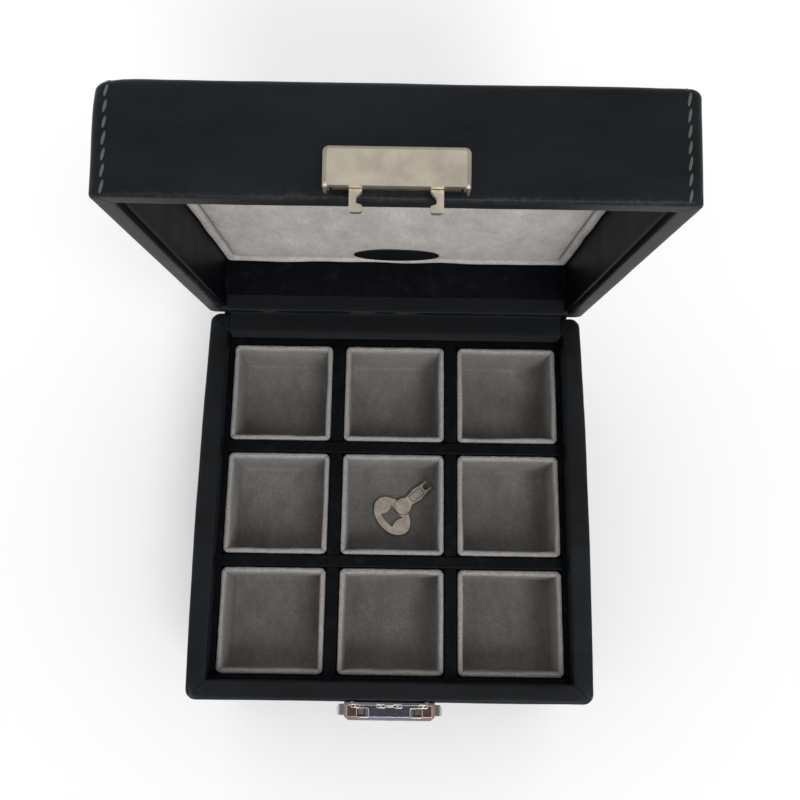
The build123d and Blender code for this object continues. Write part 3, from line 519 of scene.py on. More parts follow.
def hinge_cloth(name):
    """Close-woven black cloth."""
    f = Finish(name)
    warp = f.axis("X", (11000.0, 1.0, 1.0)).sine()
    weft = f.axis("Y", (1.0, 9000.0, 9000.0)).sine()
    weave = warp * weft
    slub = f.noise(f.place(), 1.1, 3.0)
    clouds = f.noise(f.place(), 12.0, 2.0)
    shade = (weave * 0.25 + slub * 0.7 + clouds * 0.3).span(0.1, 1.0)
    return f.surface(
        Base_Color=f.mix(shade, (0.0024, 0.0030, 0.0040), (0.014, 0.0155, 0.018)),
        Roughness=0.72 + slub * 0.18,
        Specular_IOR_Level=0.10,
        Sheen_Weight=0.05,
        Sheen_Roughness=0.5,
        Normal=f.bump(weave * 0.5 + slub, 0.10, 0.7))


def label_cloth(name):
    """Close black satin for the bare oval label."""
    f = Finish(name)
    lines = f.axis("Z", (1.0, 14000.0, 14000.0)).sine()
    clouds = f.noise(f.place(), 4.0, 2.0)
    return f.surface(
        Base_Color=f.mix(clouds, (0.0030, 0.0034, 0.0042), (0.0080, 0.0086, 0.0096)),
        Roughness=0.36 + clouds * 0.15,
        Specular_IOR_Level=0.25,
        Normal=f.bump(lines * 0.4 + clouds, 0.05, 0.6))


def satin_nickel(name):
    """Brushed, softly mottled nickel with fine rubs."""
    tint = np.array(bpy.context.scene.cuffbox_metal.satin)
    f = Finish(name)
    where = f.place()
    mottle = f.noise(where, 5.5, 3.0, 0.6)
    rubs = f.noise(f.place((1.0, 9.0, 9.0)), 3.0, 4.0, 0.65)
    pits = f.noise(where, 0.35, 2.0).span(0.66, 0.80)
    base = f.mix(mottle.span(0.3, 0.7), tuple(tint * 0.86), tuple(np.minimum(tint * 1.12, 1)))
    base = f.mix(pits * 0.35, base, tuple(tint * 0.5))
    return f.surface(
        Base_Color=base,
        Metallic=1.0,
        Roughness=0.27 + mottle * 0.16 + rubs * 0.06,
        Normal=f.bump(mottle * 0.8 + rubs * 0.25, 0.05, 0.5))


def bright_nickel(name):
    """Polished nickel with hairline rubs and a faint wave."""
    tint = np.array(bpy.context.scene.cuffbox_metal.bright)
    f = Finish(name)
    wave = f.noise(f.place(), 4.0, 2.0)
    hairs = f.noise(f.place((1.0, 14.0, 14.0)), 2.0, 4.0, 0.7)
    return f.surface(
        Base_Color=f.mix(wave, tuple(tint * 0.90), tuple(np.minimum(tint * 1.08, 1))),
        Metallic=1.0,
        Roughness=0.09 + hairs * 0.10,
        Normal=f.bump(wave * 0.9 + hairs * 0.15, 0.05, 0.4))


def lock_nickel(name):
    """Polished nickel with a painted reflection on the lock's top: blue in the middle, brown at
    its ends, with dark patches.
    """
    tint = np.array(bpy.context.scene.cuffbox_metal.bright)
    f = Finish(name)
    across, height = f.axis("X") * (1 / MM), f.axis("Z") * (1 / MM)
    # Where the painted reflection turns from brown at the ends to blue in the middle.
    middle = 1.0 - (across * across * (1 / 75.0)).span(0.55, 1.35)
    wave = f.noise(f.place(), 3.0, 3.0)
    hairs = f.noise(f.place((1.0, 14.0, 14.0)), 2.0, 4.0, 0.7)
    base = f.mix(middle, tuple(tint * (0.52, 0.34, 0.31)), tuple(tint * (0.36, 0.38, 0.55)))
    # Dark patches of painted reflection.
    base = f.mix((wave.span(0.40, 0.62) * 0.5).held(), base, tuple(tint * 0.26))
    # The painted reflection lies on the top face only; the sides below keep the plain nickel.
    base = f.mix(height.span(64.6, 65.3), tuple(tint * 0.96), base)
    return f.surface(
        Base_Color=base,
        Metallic=1.0,
        Roughness=0.12 + hairs * 0.12,
        Normal=f.bump(wave * 0.9 + hairs * 0.15, 0.08, 0.6))


def key_nickel(name):
    """Old worn nickel, warm where it is worn and with fine pits."""
    f = Finish(name)
    where = f.place()
    worn = f.noise(where, 2.6, 4.0, 0.6).span(0.36, 0.64)
    pits = f.noise(where, 0.45, 2.0).span(0.60, 0.74)
    base = f.mix(worn, (0.44, 0.36, 0.30), (0.60, 0.56, 0.47))
    base = f.mix(pits * 0.55, base, (0.20, 0.17, 0.14))
    return f.surface(
        Base_Color=base,
        Metallic=1.0,
        Roughness=0.30 + worn * 0.14,
        Normal=f.bump(worn + pits, 0.05, 0.6))


def fibrous(stretch, size, detail, rough, colours, roughness, spread, relief, **constants):
    """Makes a finish of one stretched noise, which sets its colour, roughness and relief."""
    def make(name):
        f = Finish(name)
        grain = f.noise(f.place(stretch), size, detail, rough)
        return f.surface(
            Base_Color=f.mix(grain, *colours()),
            Roughness=grain * spread + roughness if spread else roughness,
            Normal=f.bump(grain, relief),
            **constants)
    return make


def thread_colours():
    """The darker and the lighter strands of the grey thread."""
    tint = np.array(bpy.context.scene.cuffbox_stitching.tint)
    return tuple(tint * 0.55), tuple(tint * 1.35)


FINISHES = {
    "black_leather": black_leather,
    "thread": fibrous((1.0, 1.0, 1.0), 0.35, 2.0, 0.55, thread_colours, 0.55, 0.25, 0.12,
                      Sheen_Weight=0.15),
    "cup_suede": cup_suede,
    "lid_suede": lid_suede,
    "black_card": black_card,
    "hinge_cloth": hinge_cloth,
    "black_felt": fibrous((1.0, 1.0, 1.0), 0.6, 5.0, 0.7,
                          lambda: ((0.006, 0.0065, 0.0075), (0.026, 0.027, 0.030)),
                          0.95, 0.0, 0.3, Specular_IOR_Level=0.1, Sheen_Weight=0.3),
    "label_cloth": label_cloth,
    "raw_board": fibrous((1.0, 1.0, 3.0), 1.2, 5.0, 0.7,
                         lambda: ((0.20, 0.14, 0.09), (0.38, 0.29, 0.20)), 0.8, 0.1, 0.15),
    "satin_nickel": satin_nickel,
    "bright_nickel": bright_nickel,
    "lock_nickel": lock_nickel,
    "key_nickel": key_nickel,
    "engraved_line": fibrous((1.0, 1.0, 1.0), 0.5, 3.0, 0.55,
                             lambda: ((0.030, 0.026, 0.020), (0.10, 0.085, 0.065)),
                             0.6, 0.2, 0.03, Specular_IOR_Level=0.2),
    "spring_steel": fibrous((6.0, 1.0, 1.0), 1.5, 3.0, 0.55,
                            lambda: ((0.36, 0.36, 0.37), (0.52, 0.51, 0.50)),
                            0.25, 0.15, 0.02, Metallic=1.0),
}


# ---------------------------------------------------------------- leather wraps
WRAP_STEPS = 44        # points along each side of a wrap's rings
FOLD_SPREAD = 0.022    # how much of a corner's arc a fold takes up


def wrap_waves(points, amount, seed):
    """How far the leather stands off, so that its reflections wander."""
    broad = ripple(points, 34.0, seed)
    small = ripple(points, 7.0, seed + 1)
    return amount * (0.75 * broad + 0.25 * small)


def outward(ring):
    """Level unit vectors away from the middle of a ring."""
    along = np.roll(ring[:, :2], -1, 0) - np.roll(ring[:, :2], 1, 0)
    along /= np.maximum(np.linalg.norm(along, axis=1), 1e-9)[:, None]
    return np.column_stack([along[:, 1], -along[:, 0], np.zeros(len(ring))])


def base_wrap():
    """The base's leather: bowed walls, rounded rim with folded corners, and the flap inside."""
    look = bpy.context.scene.cuffbox_leather
    low, high = extent("base_leather")
    width, depth = high[0] - low[0], high[1] - low[1]
    foot, top = low[2], high[2]
    leather = look.thickness / MM
    flap = top - 10.0
    profile = [(0.25, foot, 3.0)]
    profile += [(0.0, z, 3.2) for z in np.linspace(foot + 0.3, top - 1.6, 22)]
    profile += [(0.06, top - 0.85, 3.2), (0.22, top - 0.50, 3.1), (0.50, top - 0.20, 2.9),
                (0.90, top - 0.04, 2.6), (1.4, top, 2.3), (2.4, top, 1.8), (3.4, top, 1.4),
                (4.4, top, 1.1), (5.3, top, 0.9), (5.75, top - 0.06, 0.75),
                (6.05, top - 0.26, 0.65), (BASE_RIM, top - 0.6, 0.5), (BASE_RIM, top - 3.0, 0.5),
                (BASE_RIM, flap, 0.5)]
    skin = len(profile)
    profile += [(BASE_RIM - leather, flap, 0.9), (BASE_RIM - leather, top - leather, 0.9),
                (leather, top - leather, 2.4), (leather, foot, 2.4)]
    rings = ring_stack(profile, width, depth, WRAP_STEPS)
    near, _ = corner_marks(WRAP_STEPS, FOLD_SPREAD)
    shaped = []
    for i, ((inset, height, _), ring) in enumerate(zip(profile, rings)):
        slack = wrap_waves(ring, look.slackness / MM, 11)
        rim = np.clip((height - (top - 2.5)) / 2.0, 0, 1) * (inset < 6.1)
        fold = near * rim * look.fold_depth / MM
        ring = ring.copy()
        if i < skin and inset < 1.0:
            bow = look.bow / MM * (1 - (ring[:, 1] / depth * 2) ** 2) * (1 - inset)
            ring[:, 0] += np.sign(ring[:, 0]) * bow
            ring += outward(ring) * (np.minimum(slack, 0.05) - fold)[:, None]
        elif i < skin and inset < 6.1:
            ring[:, 2] += slack * 0.7 - fold
        shaped.append(ring)
    piece = add_piece("base_wrap", np.vstack(shaped),
                      ring_faces(len(shaped), len(shaped[0]), True), finish("black_leather"))
    _, board_top = extent("bottom_board")
    rail_low, _ = extent("front_rail")
    wall = extent("wall_right")[0][0]
    # The drawer's opening, and the notch that the hinge strip lies in.
    cut_box(piece, (-wall, low[1] - 2, board_top[2]), (wall, low[1] + 3.5, rail_low[2]))
    strip_low, strip_high = extent("hinge_strip")
    cut_box(piece, (strip_low[0] - 0.25, high[1] - 6.6, top - 0.5),
            (strip_high[0] + 0.25, high[1] + 1.0, top + 1.0))
    points = vertex_points(piece)
    from_corner = np.hypot(width / 2 - np.abs(points[:, 0]), depth / 2 + points[:, 1])
    # Real wear at the base's front corners.
    mark(piece, "wear_and_highlight", np.exp(-(from_corner / 3.2) ** 2)
         * np.exp(-((points[:, 2] - top + 0.8) / 1.2) ** 2))
    stand_for(piece, "base", "base_leather")


def lid_wrap():
    """The lid's leather: rim, walls, rolled top edges, crowned top and one worn corner."""
    look = bpy.context.scene.cuffbox_leather
    margin = bpy.context.scene.cuffbox_stitching.margin / MM
    low, high = extent("lid_leather", shut=True)
    width, depth = high[0] - low[0], high[1] - low[1]
    rim, top = low[2], high[2]
    roll, corner = 2.4, 2.6
    profile = [(LID_RIM, rim + 8.0, 0.5), (LID_RIM, rim + 3.0, 0.5), (LID_RIM, rim + 0.6, 0.5),
               (5.05, rim + 0.25, 0.6), (4.75, rim + 0.05, 0.7), (4.2, rim, 0.9),
               (3.2, rim, 1.2), (2.2, rim, 1.6), (1.3, rim, 2.0), (0.8, rim + 0.03, 2.2),
               (0.4, rim + 0.16, 2.4), (0.14, rim + 0.42, 2.5), (0.0, rim + 0.85, corner)]
    profile += [(0.0, z, corner) for z in np.linspace(rim + 1.6, top - roll, 13)]
    for angle in np.radians(np.linspace(9, 90, 10)):
        inset = roll * (1 - math.cos(angle))
        profile.append((inset, top - roll + roll * math.sin(angle), corner - 0.25 * inset))
    profile += [(inset, top, max(2.0 - (inset - roll) * 0.03, 0.8))
                for inset in (3.2, 4.6, 6.5, 9.0, 12.0, 16.0, 22.0, 29.0, 37.0, 46.0, 55.0, 63.0)]
    rings = ring_stack(profile, width, depth, WRAP_STEPS)
    near, _ = corner_marks(WRAP_STEPS, FOLD_SPREAD)
    shaped = []
    for (inset, height, _), ring in zip(profile, rings):
        slack = wrap_waves(ring, look.slackness / MM, 23)
        on_rim = (height < rim + 0.5) * (inset < 5.1)
        fold = near * look.fold_depth / MM * np.clip((rim + 2.2 - height) / 1.6, 0, 1)
        groove = np.exp(-((width / 2 - np.abs(ring[:, 0]) - margin) / 0.55) ** 2)
        groove *= np.abs(ring[:, 1]) < depth / 2 + 1
        ring = ring.copy()
        if on_rim:
            ring[:, 2] += fold - slack * 0.5
        elif inset < 0.3:
            walls = np.abs(ring[:, 1]) > depth / 2 - 3.0
            stand_off = np.minimum(slack, 0.08) - fold - 0.10 * groove * walls
            ring += outward(ring) * stand_off[:, None]
        elif height > rim + 9:
            across, along = ring[:, 0] / width * 2, ring[:, 1] / depth * 2
            crown = 0.25 * (1 - across ** 2) * (1 - along ** 2)
            ring[:, 2] += np.minimum(slack, 0.05) - 0.12 * groove + crown
        from_worn = ring - np.array([-width / 2, -depth / 2, top])
        dent = 0.85 * np.exp(-(np.linalg.norm(from_worn, axis=1) / 5.0) ** 2)
        ring += dent[:, None] * np.array([0.577, 0.577, -0.577])
        shaped.append(ring)
    piece = add_piece("lid_wrap", swing(np.vstack(shaped)), skin_faces(shaped, ("last",)),
                      finish("black_leather"))
    thicken(piece, look.thickness / MM)
    points = swing_back(vertex_points(piece))
    at_rim = np.exp(-((points[:, 2] - rim - 0.5) / 0.8) ** 2)
    front = np.exp(-((points[:, 1] + depth / 2) / 1.4) ** 2)
    # A painted highlight band along the lid's front rim.
    mark(piece, "wear_and_highlight", at_rim * front * (0.10 + 0.10 * ripple(points, 22.0, 31) ** 2))
    side_rim = (points[:, 2] < rim + 1.2) * (np.abs(points[:, 0]) > width / 2 - 5.6)
    left = np.clip((points[:, 1] + 20) / 50, 0, 1) * (points[:, 0] < 0)
    right = np.clip((points[:, 1] - 15) / 40, 0, 1) * (points[:, 0] > 0)
    mark(piece, "creased", side_rim * (left + 0.8 * right))
    stand_for(piece, "lid", "lid_leather")


# ---------------------------------------------------------------- stitching
def node_group(name, inputs, nodes, links):
    """A geometry node group that puts an instance on points, makes it real and finishes it.

    Nodes are given as type, settings and values, links as source, output, target and input.
    """
    tree = bpy.data.node_groups.new(name, "GeometryNodeTree")
    for label, kind in (("Geometry", "Geometry"), *inputs, ("Finish", "Material")):
        tree.interface.new_socket(label, in_out="INPUT", socket_type="NodeSocket" + kind)
    tree.interface.new_socket("Geometry", in_out="OUTPUT", socket_type="NodeSocketGeometry")
    nodes = {
        "given": ("NodeGroupInput", {}, {}),
        **nodes,
        "placed": ("GeometryNodeInstanceOnPoints", {}, {}),
        "real": ("GeometryNodeRealizeInstances", {}, {}),
        "smooth": ("GeometryNodeSetShadeSmooth", {}, {}),
        "finished": ("GeometryNodeSetMaterial", {}, {}),
        "result": ("NodeGroupOutput", {}, {}),
    }
    links = [*links, ("placed", 0, "real", 0), ("real", 0, "smooth", 0),
             ("smooth", 0, "finished", "Geometry"), ("given", "Finish", "finished", "Material"),
             ("finished", 0, "result", 0)]
    made = {}
    for key, (kind, settings, values) in nodes.items():
        made[key] = tree.nodes.new(kind)
        for setting, value in settings.items():
            setattr(made[key], setting, value)
        for socket, value in values.items():
            made[key].inputs[socket].default_value = value
    for source, output, target, socket in links:
        tree.links.new(made[source].outputs[output], made[target].inputs[socket])
    return tree


def add_nodes(thing, tree, given):
    """Runs a node group on an object, its inputs given by name."""
    modifier = thing.modifiers.new(tree.name, "NODES")
    modifier.node_group = tree
    for item in tree.interface.items_tree:
        if item.in_out == "INPUT" and item.name in given:
            modifier[item.identifier] = given[item.name]


def stitch_tree():
    """Geometry nodes: one thread stitch at each pitch along a curve."""
    return node_group("stitch_row", [
        ("Pitch", "Float"), ("Length", "Float"), ("Thread", "Float"), ("Lean", "Float"),
        ("Seed", "Int"),
    ], {
        "spread": ("GeometryNodeCurveToPoints", {"mode": "LENGTH"}, {}),
        "stitch": ("GeometryNodeMeshUVSphere", {}, {"Segments": 8, "Rings": 6, "Radius": 0.5}),
        "size": ("ShaderNodeCombineXYZ", {}, {}),
        "wander": ("FunctionNodeRandomValue", {}, {2: 0.88, 3: 1.08}),
        "longer": ("ShaderNodeMath", {"operation": "MULTIPLY"}, {}),
        "lean": ("FunctionNodeRotateRotation", {"rotation_space": "LOCAL"}, {}),
        "tilt": ("FunctionNodeEulerToRotation", {}, {}),
        "angles": ("ShaderNodeCombineXYZ", {}, {}),
    }, [
        ("given", "Geometry", "spread", "Curve"), ("given", "Pitch", "spread", "Length"),
        ("given", "Seed", "wander", "Seed"), ("given", "Length", "longer", 0),
        ("wander", 1, "longer", 1), ("given", "Thread", "size", "X"),
        ("given", "Thread", "size", "Y"), ("longer", 0, "size", "Z"),
        ("given", "Lean", "angles", "Y"), ("angles", 0, "tilt", 0),
        ("spread", "Rotation", "lean", "Rotation"), ("tilt", 0, "lean", "Rotate By"),
        ("spread", "Points", "placed", "Points"), ("stitch", "Mesh", "placed", "Instance"),
        ("lean", 0, "placed", "Rotation"), ("size", 0, "placed", "Scale"),
    ])


def lid_stitch_path(side, wrap):
    """Down the lid's front from its top, and back along its top, on the leather itself."""
    look = bpy.context.scene.cuffbox_stitching
    low, high = extent("lid_leather", shut=True)
    x = side * (high[0] - look.margin / MM)
    rough = [(x, low[1] - 0.4, z) for z in np.linspace(low[2] + 2.0, high[2] - 2.6, 24)]
    rough += [(x, low[1] + 0.4, high[2] - 0.4)]
    rough += [(x, y, high[2] + 0.4) for y in np.linspace(low[1] + 3.0, high[1] - 3.0, 90)]
    rough += [(x, high[1] - 0.4, high[2] - 0.4)]
    rough += [(x, high[1] + 0.4, z) for z in np.linspace(high[2] - 2.6, low[2] + 13.0, 10)]
    open_points = swing(np.array(rough)) * MM
    path = []
    for point in open_points:
        _, spot, normal, _ = wrap.closest_point_on_mesh(Vector(point))
        path.append(spot + normal * look.thread * 0.04)
    return path


def stitch_row(name, path, tree, seed):
    """One row of stitches along a path, as a plain mesh."""
    look = bpy.context.scene.cuffbox_stitching
    curve = bpy.data.curves.new(name, "CURVE")
    curve.dimensions = "3D"
    spline = curve.splines.new("POLY")
    spline.points.add(len(path) - 1)
    for point, spot in zip(spline.points, path):
        point.co = (*spot, 1.0)
    row = bpy.data.objects.new(name + "_path", curve)
    bpy.context.scene.collection.objects.link(row)
    add_nodes(row, tree, {"Pitch": look.pitch, "Length": look.length, "Thread": look.thread,
                          "Lean": look.lean, "Seed": seed, "Finish": finish("thread")})
    graph = bpy.context.evaluated_depsgraph_get()
    mesh = bpy.data.meshes.new_from_object(row.evaluated_get(graph))
    if not mesh.vertices:
        raise RuntimeError(f"{name}: the stitch tree made nothing")
    mesh.name = name
    bpy.data.objects.remove(row)
    piece = bpy.data.objects.new(name, mesh)
    bpy.context.scene.collection.objects.link(piece)
    return piece


# ---------------------------------------------------------------- suede cups and liners
def padded_tray(name, node, body, wall, inner_depth, seed):
    """An open tray of padded strips round a floor, with slits where the strips meet."""
    look = bpy.context.scene.cuffbox_suede
    low, high = extent(node)
    width, depth = high[0] - low[0], high[1] - low[1]
    top, bottom, floor = high[2], low[2], high[2] - inner_depth
    middle = (top + floor) / 2
    corner = 1.8
    profile = [(0.9, bottom, 1.1), (0.3, bottom + 0.3, 1.6), (0.06, bottom + 1.5, corner),
               (0.08, (bottom + top) / 2, corner), (0.05, top - 2.2, corner),
               (0.02, top - 1.2, corner), (0.08, top - 0.65, corner), (0.28, top - 0.25, 1.6),
               (0.58, top - 0.04, 1.35), (0.88, top, 1.1), (1.18, top - 0.12, 0.85),
               (1.45, top - 0.42, 0.6), (1.62, top - 0.85, 0.45), (wall, top - 1.5, 0.35),
               (wall + 0.1, top - 3.2, 0.3), (wall + 0.12, middle + 2, 0.3),
               (wall + 0.08, middle - 2, 0.3), (wall, floor + 2.6, 0.3),
               (wall, floor + 1.1, 0.32), (wall + 0.12, floor + 0.4, 0.4),
               (wall + 0.55, floor + 0.05, 0.6), (wall + 1.4, floor, 0.8)]
    reach = min(width, depth) / 2
    profile += [(inset, floor, max(0.8, 1.6 - inset * 0.05))
                for inset in np.linspace(wall + 3.2, reach - 1.4, 8)]
    steps = 26
    centre = ((low[0] + high[0]) / 2, (low[1] + high[1]) / 2)
    rings = ring_stack(profile, width, depth, steps, centre)
    near, which = corner_marks(steps, 0.035)
    draw = np.random.default_rng(seed)
    slits = draw.uniform(0.15, 1.0, 4) * look.slit / MM
    uneven = look.unevenness / MM
    shaped, rim_highlight = [], []
    for (inset, height, _), ring in zip(profile, rings):
        ring = ring.copy()
        rim = math.exp(-((height - top) / 1.6) ** 2) * (inset < wall + 0.6)
        inner = 0.4 < inset < wall + 0.6 and height > floor + 0.8
        ring[:, 2] += uneven * rim * ripple(ring, 15.0, seed) * 0.9
        ring[:, 2] -= near * slits[which] * rim * (0.35 + 0.65 * min(inset / 1.2, 1))
        ring += draw.normal(0, 0.055 * rim, ring.shape)
        if inner:
            bow = ripple(ring, 21.0, seed + 5) * uneven * 0.8 + 0.10
            ring -= outward(ring) * (bow * (1 - near))[:, None]
        if inset > wall + 0.6:
            ring[:, 2] += 0.10 * ripple(ring, 12.0, seed + 9)
        shaped.append(ring)
        # How much painted highlight each rim gets, less at the slits.
        rim_highlight.append(np.full(len(ring), rim) * (1 - near * 0.9))
    piece = add_piece(name, np.vstack(shaped), skin_faces(shaped, ("first", "last")),
                      finish("cup_suede"), 70.0)
    mark(piece, "rim_highlight", np.concatenate(rim_highlight)[:len(piece.data.vertices)])
    stand_for(piece, body, node)


# ---------------------------------------------------------------- lid lining
def lid_cushion():
    """The crowned suede pad in the lid."""
    low, high = extent("lid_pad", shut=True)
    width, depth = high[0] - low[0], high[1] - low[1]
    face, back = low[2], high[2]
    profile = [(0.6, back, 1.6), (0.0, back - 0.4, 2.0), (0.0, face + 1.7, 2.0),
               (0.10, face + 1.25, 2.0), (0.40, face + 0.9, 1.9), (0.9, face + 0.68, 1.8),
               (1.8, face + 0.52, 1.7)]
    profile += [(inset, face, max(0.6, 1.7 - inset * 0.02))
                for inset in (3.0, 4.6, 6.8, 9.5, 13.0, 17.0, 21.5, 26.5, 32.0, 38.0, 44.0, 50.0,
                              54.0)]
    steps = 46
    rings = ring_stack(profile, width, depth, steps)
    shaped = []
    for (inset, _, _), ring in zip(profile, rings):
        ring = ring.copy()
        if inset >= 3.0:
            from_side = np.minimum(width / 2 - np.abs(ring[:, 0]), depth / 2 - np.abs(ring[:, 1]))
            ring[:, 2] += 0.55 * np.exp(-from_side / 7.0)
            ring[:, 2] += 0.10 * (1 + ripple(ring, 24.0, 41)) * np.clip(from_side / 10, 0, 1)
            from_label = np.hypot(ring[:, 0] / 17.0, (ring[:, 1] - LABEL_Y) / 9.0)
            ring[:, 2] += 0.30 * np.exp(-from_label ** 4)
        shaped.append(ring)
    piece = add_piece("lid_cushion", swing(np.vstack(shaped)),
                      skin_faces(shaped, ("first", "last")), finish("lid_suede"), 70.0)
    stand_for(piece, "lid", "lid_pad")


def lid_roll():
    """The padded suede roll round the pad."""
    low, high = extent("lid_pad_border", shut=True)
    width, depth = high[0] - low[0], high[1] - low[1]
    face, back = low[2], high[2]
    profile = [(0.15, back, 0.5), (0.0, face + 1.5, 0.5), (0.08, face + 0.8, 0.6),
               (0.35, face + 0.32, 0.7), (0.8, face + 0.06, 0.8), (1.3, face, 0.8),
               (1.8, face + 0.06, 0.8), (2.25, face + 0.32, 0.7), (2.52, face + 0.8, 0.6),
               (2.6, face + 1.5, 0.5), (2.45, back, 0.5)]
    steps = 60
    rings = ring_stack(profile, width, depth, steps)
    near, _ = corner_marks(steps, 0.06)
    shaped = []
    for (inset, height, _), ring in zip(profile, rings):
        ring = ring.copy()
        free = np.clip((back - height) / 2.0, 0, 1)
        ring[:, 2] += free * (0.22 * (1 + ripple(ring, 19.0, 61)) + 0.5 * near)
        inward = 0.20 * (1 + ripple(np.round(ring / 3) * 3, 30.0, 67)) * free * (inset > 1.0)
        ring -= outward(ring) * (inward * 0.5)[:, None]
        shaped.append(ring)
    faces = ring_faces(len(shaped), len(shaped[0]), close_profile=True)
    piece = add_piece("lid_roll", swing(np.vstack(shaped)), faces, finish("lid_suede"), 70.0)
    # A faint painted highlight over the whole roll.
    mark(piece, "rim_highlight", np.full(len(piece.data.vertices), 0.2))
    stand_for(piece, "lid", "lid_pad_border")


def lid_patch():
    """The bare oval label near the hinge, with a turned border."""
    low, high = extent("lid_label", shut=True)
    centre = (low + high) / 2
    half = (high - low) / 2
    profile = [(0.10, 1.0), (0.0, 0.6), (0.02, 0.25), (0.22, 0.0), (0.55, 0.0), (0.85, 0.18),
               (1.15, 0.30), (2.5, 0.28), (4.0, 0.26), (5.5, 0.25), (6.6, 0.25)]
    angle = np.linspace(0, 2 * math.pi, 96, endpoint=False)
    rings = []
    for inset, drop in profile:
        x = (half[0] - inset) * np.cos(angle)
        y = (half[1] - inset) * np.sin(angle)
        z = np.full(len(angle), low[2] + drop * (high[2] - low[2]))
        rings.append(np.column_stack([centre[0] + x, centre[1] + y, z]))
    piece = add_piece("lid_patch", swing(np.vstack(rings)), skin_faces(rings, ("first", "last")),
                      finish("label_cloth"), 60.0)
    stand_for(piece, "lid", "lid_label")
    across, along = 2 * half[0] * MM, 2 * half[1] * MM
    math.pi * across * along / 4


# ---------------------------------------------------------------- hinge
def smooth_line(points, per_run):
    """A smooth line through (y, z) points."""
    points = np.array(points, float)
    padded = np.vstack([2 * points[0] - points[1], points, 2 * points[-1] - points[-2]])
    line = []
    for i in range(1, len(padded) - 2):
        p0, p1, p2, p3 = padded[i - 1:i + 3]
        for t in np.linspace(0, 1, per_run, endpoint=False):
            line.append(0.5 * (2 * p1 + (p2 - p0) * t + (2 * p0 - 5 * p1 + 4 * p2 - p3) * t ** 2
                               + (3 * p1 - p0 - 3 * p2 + p3) * t ** 3))
    line.append(points[-1])
    return np.array(line)


def band(name, line, width, thickness, finish_name, wave, seed):
    """A flat band along X that follows a line in Y and Z, with its thickness."""
    along = np.gradient(line, axis=0)
    along /= np.linalg.norm(along, axis=1)[:, None]
    across = np.column_stack([-along[:, 1], along[:, 0]])
    count, length = len(line), 72
    stations = np.linspace(-width / 2, width / 2, length)
    rows = []
    for side in (-0.5, 0.5):
        for spot, direction in zip(line, across):
            y, z = spot + direction * thickness * side
            row = np.column_stack([stations, np.full(length, y), np.full(length, z)])
            lift = wave * ripple(row, 16.0, seed)
            row[:, 1] += direction[0] * lift
            row[:, 2] += direction[1] * lift
            rows.append(row)
    faces = []
    for side in (0, 1):
        start = side * count * length
        for i in range(count - 1):
            for j in range(length - 1):
                a = start + i * length + j
                faces.append((a, a + 1, a + length + 1, a + length))
    top = count * length
    for j in range(length - 1):
        faces.append((j, j + 1, top + j + 1, top + j))
        end = (count - 1) * length + j
        faces.append((end, end + 1, top + end + 1, top + end))
    for i in range(count - 1):
        for j in (0, length - 1):
            a = i * length + j
            faces.append((a, a + length, top + a + length, top + a))
    return add_piece(name, np.vstack(rows), faces, finish(finish_name), 60.0)


def hinge_band():
    """The cloth strip inside, from the tray's wall over both rims to the lid's lining."""
    low, high = extent("hinge_strip")
    base_top = extent("base_leather")[1][2]
    inner = HINGE_Y - BASE_RIM
    rim = LID_RIM + 1.25
    line = smooth_line([
        (inner - 0.26, low[2] + 0.05), (inner - 0.26, base_top - 2.0),
        (inner - 0.22, base_top - 0.75), (inner + 0.05, base_top - 0.34),
        (inner + 0.7, base_top - 0.24), (inner + 3.0, base_top - 0.24), (64.3, base_top - 0.24),
        on_lid(-0.02, 0.20), on_lid(0.8, 0.24), on_lid(3.0, 0.24), on_lid(rim - 0.6, 0.26),
        on_lid(rim + 0.05, 0.42), on_lid(rim + 0.26, 0.95), on_lid(rim + 0.26, 2.2),
        on_lid(rim + 0.26, 4.95)], 5)
    width = high[0] - low[0]
    piece = band("hinge_band", line, width, 0.40, "hinge_cloth", 0.035, 71)
    (base_top - 0.2) * MM
    on_lid(0.9, 0.22)[0] * MM
    on_lid(0.9, 0.22)[1] * MM
    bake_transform(piece)
    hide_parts("hinge_strip")
    width * MM


def spine_band():
    """The leather spine outside, from the base's back to the lid's back."""
    low, high = extent("hinge_spine")
    out = HINGE_Y + 0.45
    line = smooth_line([
        (out, low[2] + 0.02), (out, low[2] + 4.0), (out, HINGE_Z - 2.6),
        (out + 0.02, HINGE_Z - 1.3), (out + 0.22, HINGE_Z - 0.62), on_lid(-0.47, 0.95),
        on_lid(-0.45, 2.2), on_lid(-0.45, 6.0), on_lid(-0.45, 10.98)], 6)
    width = high[0] - low[0]
    piece = band("spine_band", line, width, 0.72, "black_leather", 0.02, 83)
    out * MM
    (HINGE_Z - 1.6) * MM
    on_lid(-0.45, 1.4)[0] * MM
    on_lid(-0.45, 1.4)[1] * MM
    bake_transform(piece)
    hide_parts("hinge_spine")
    width * MM


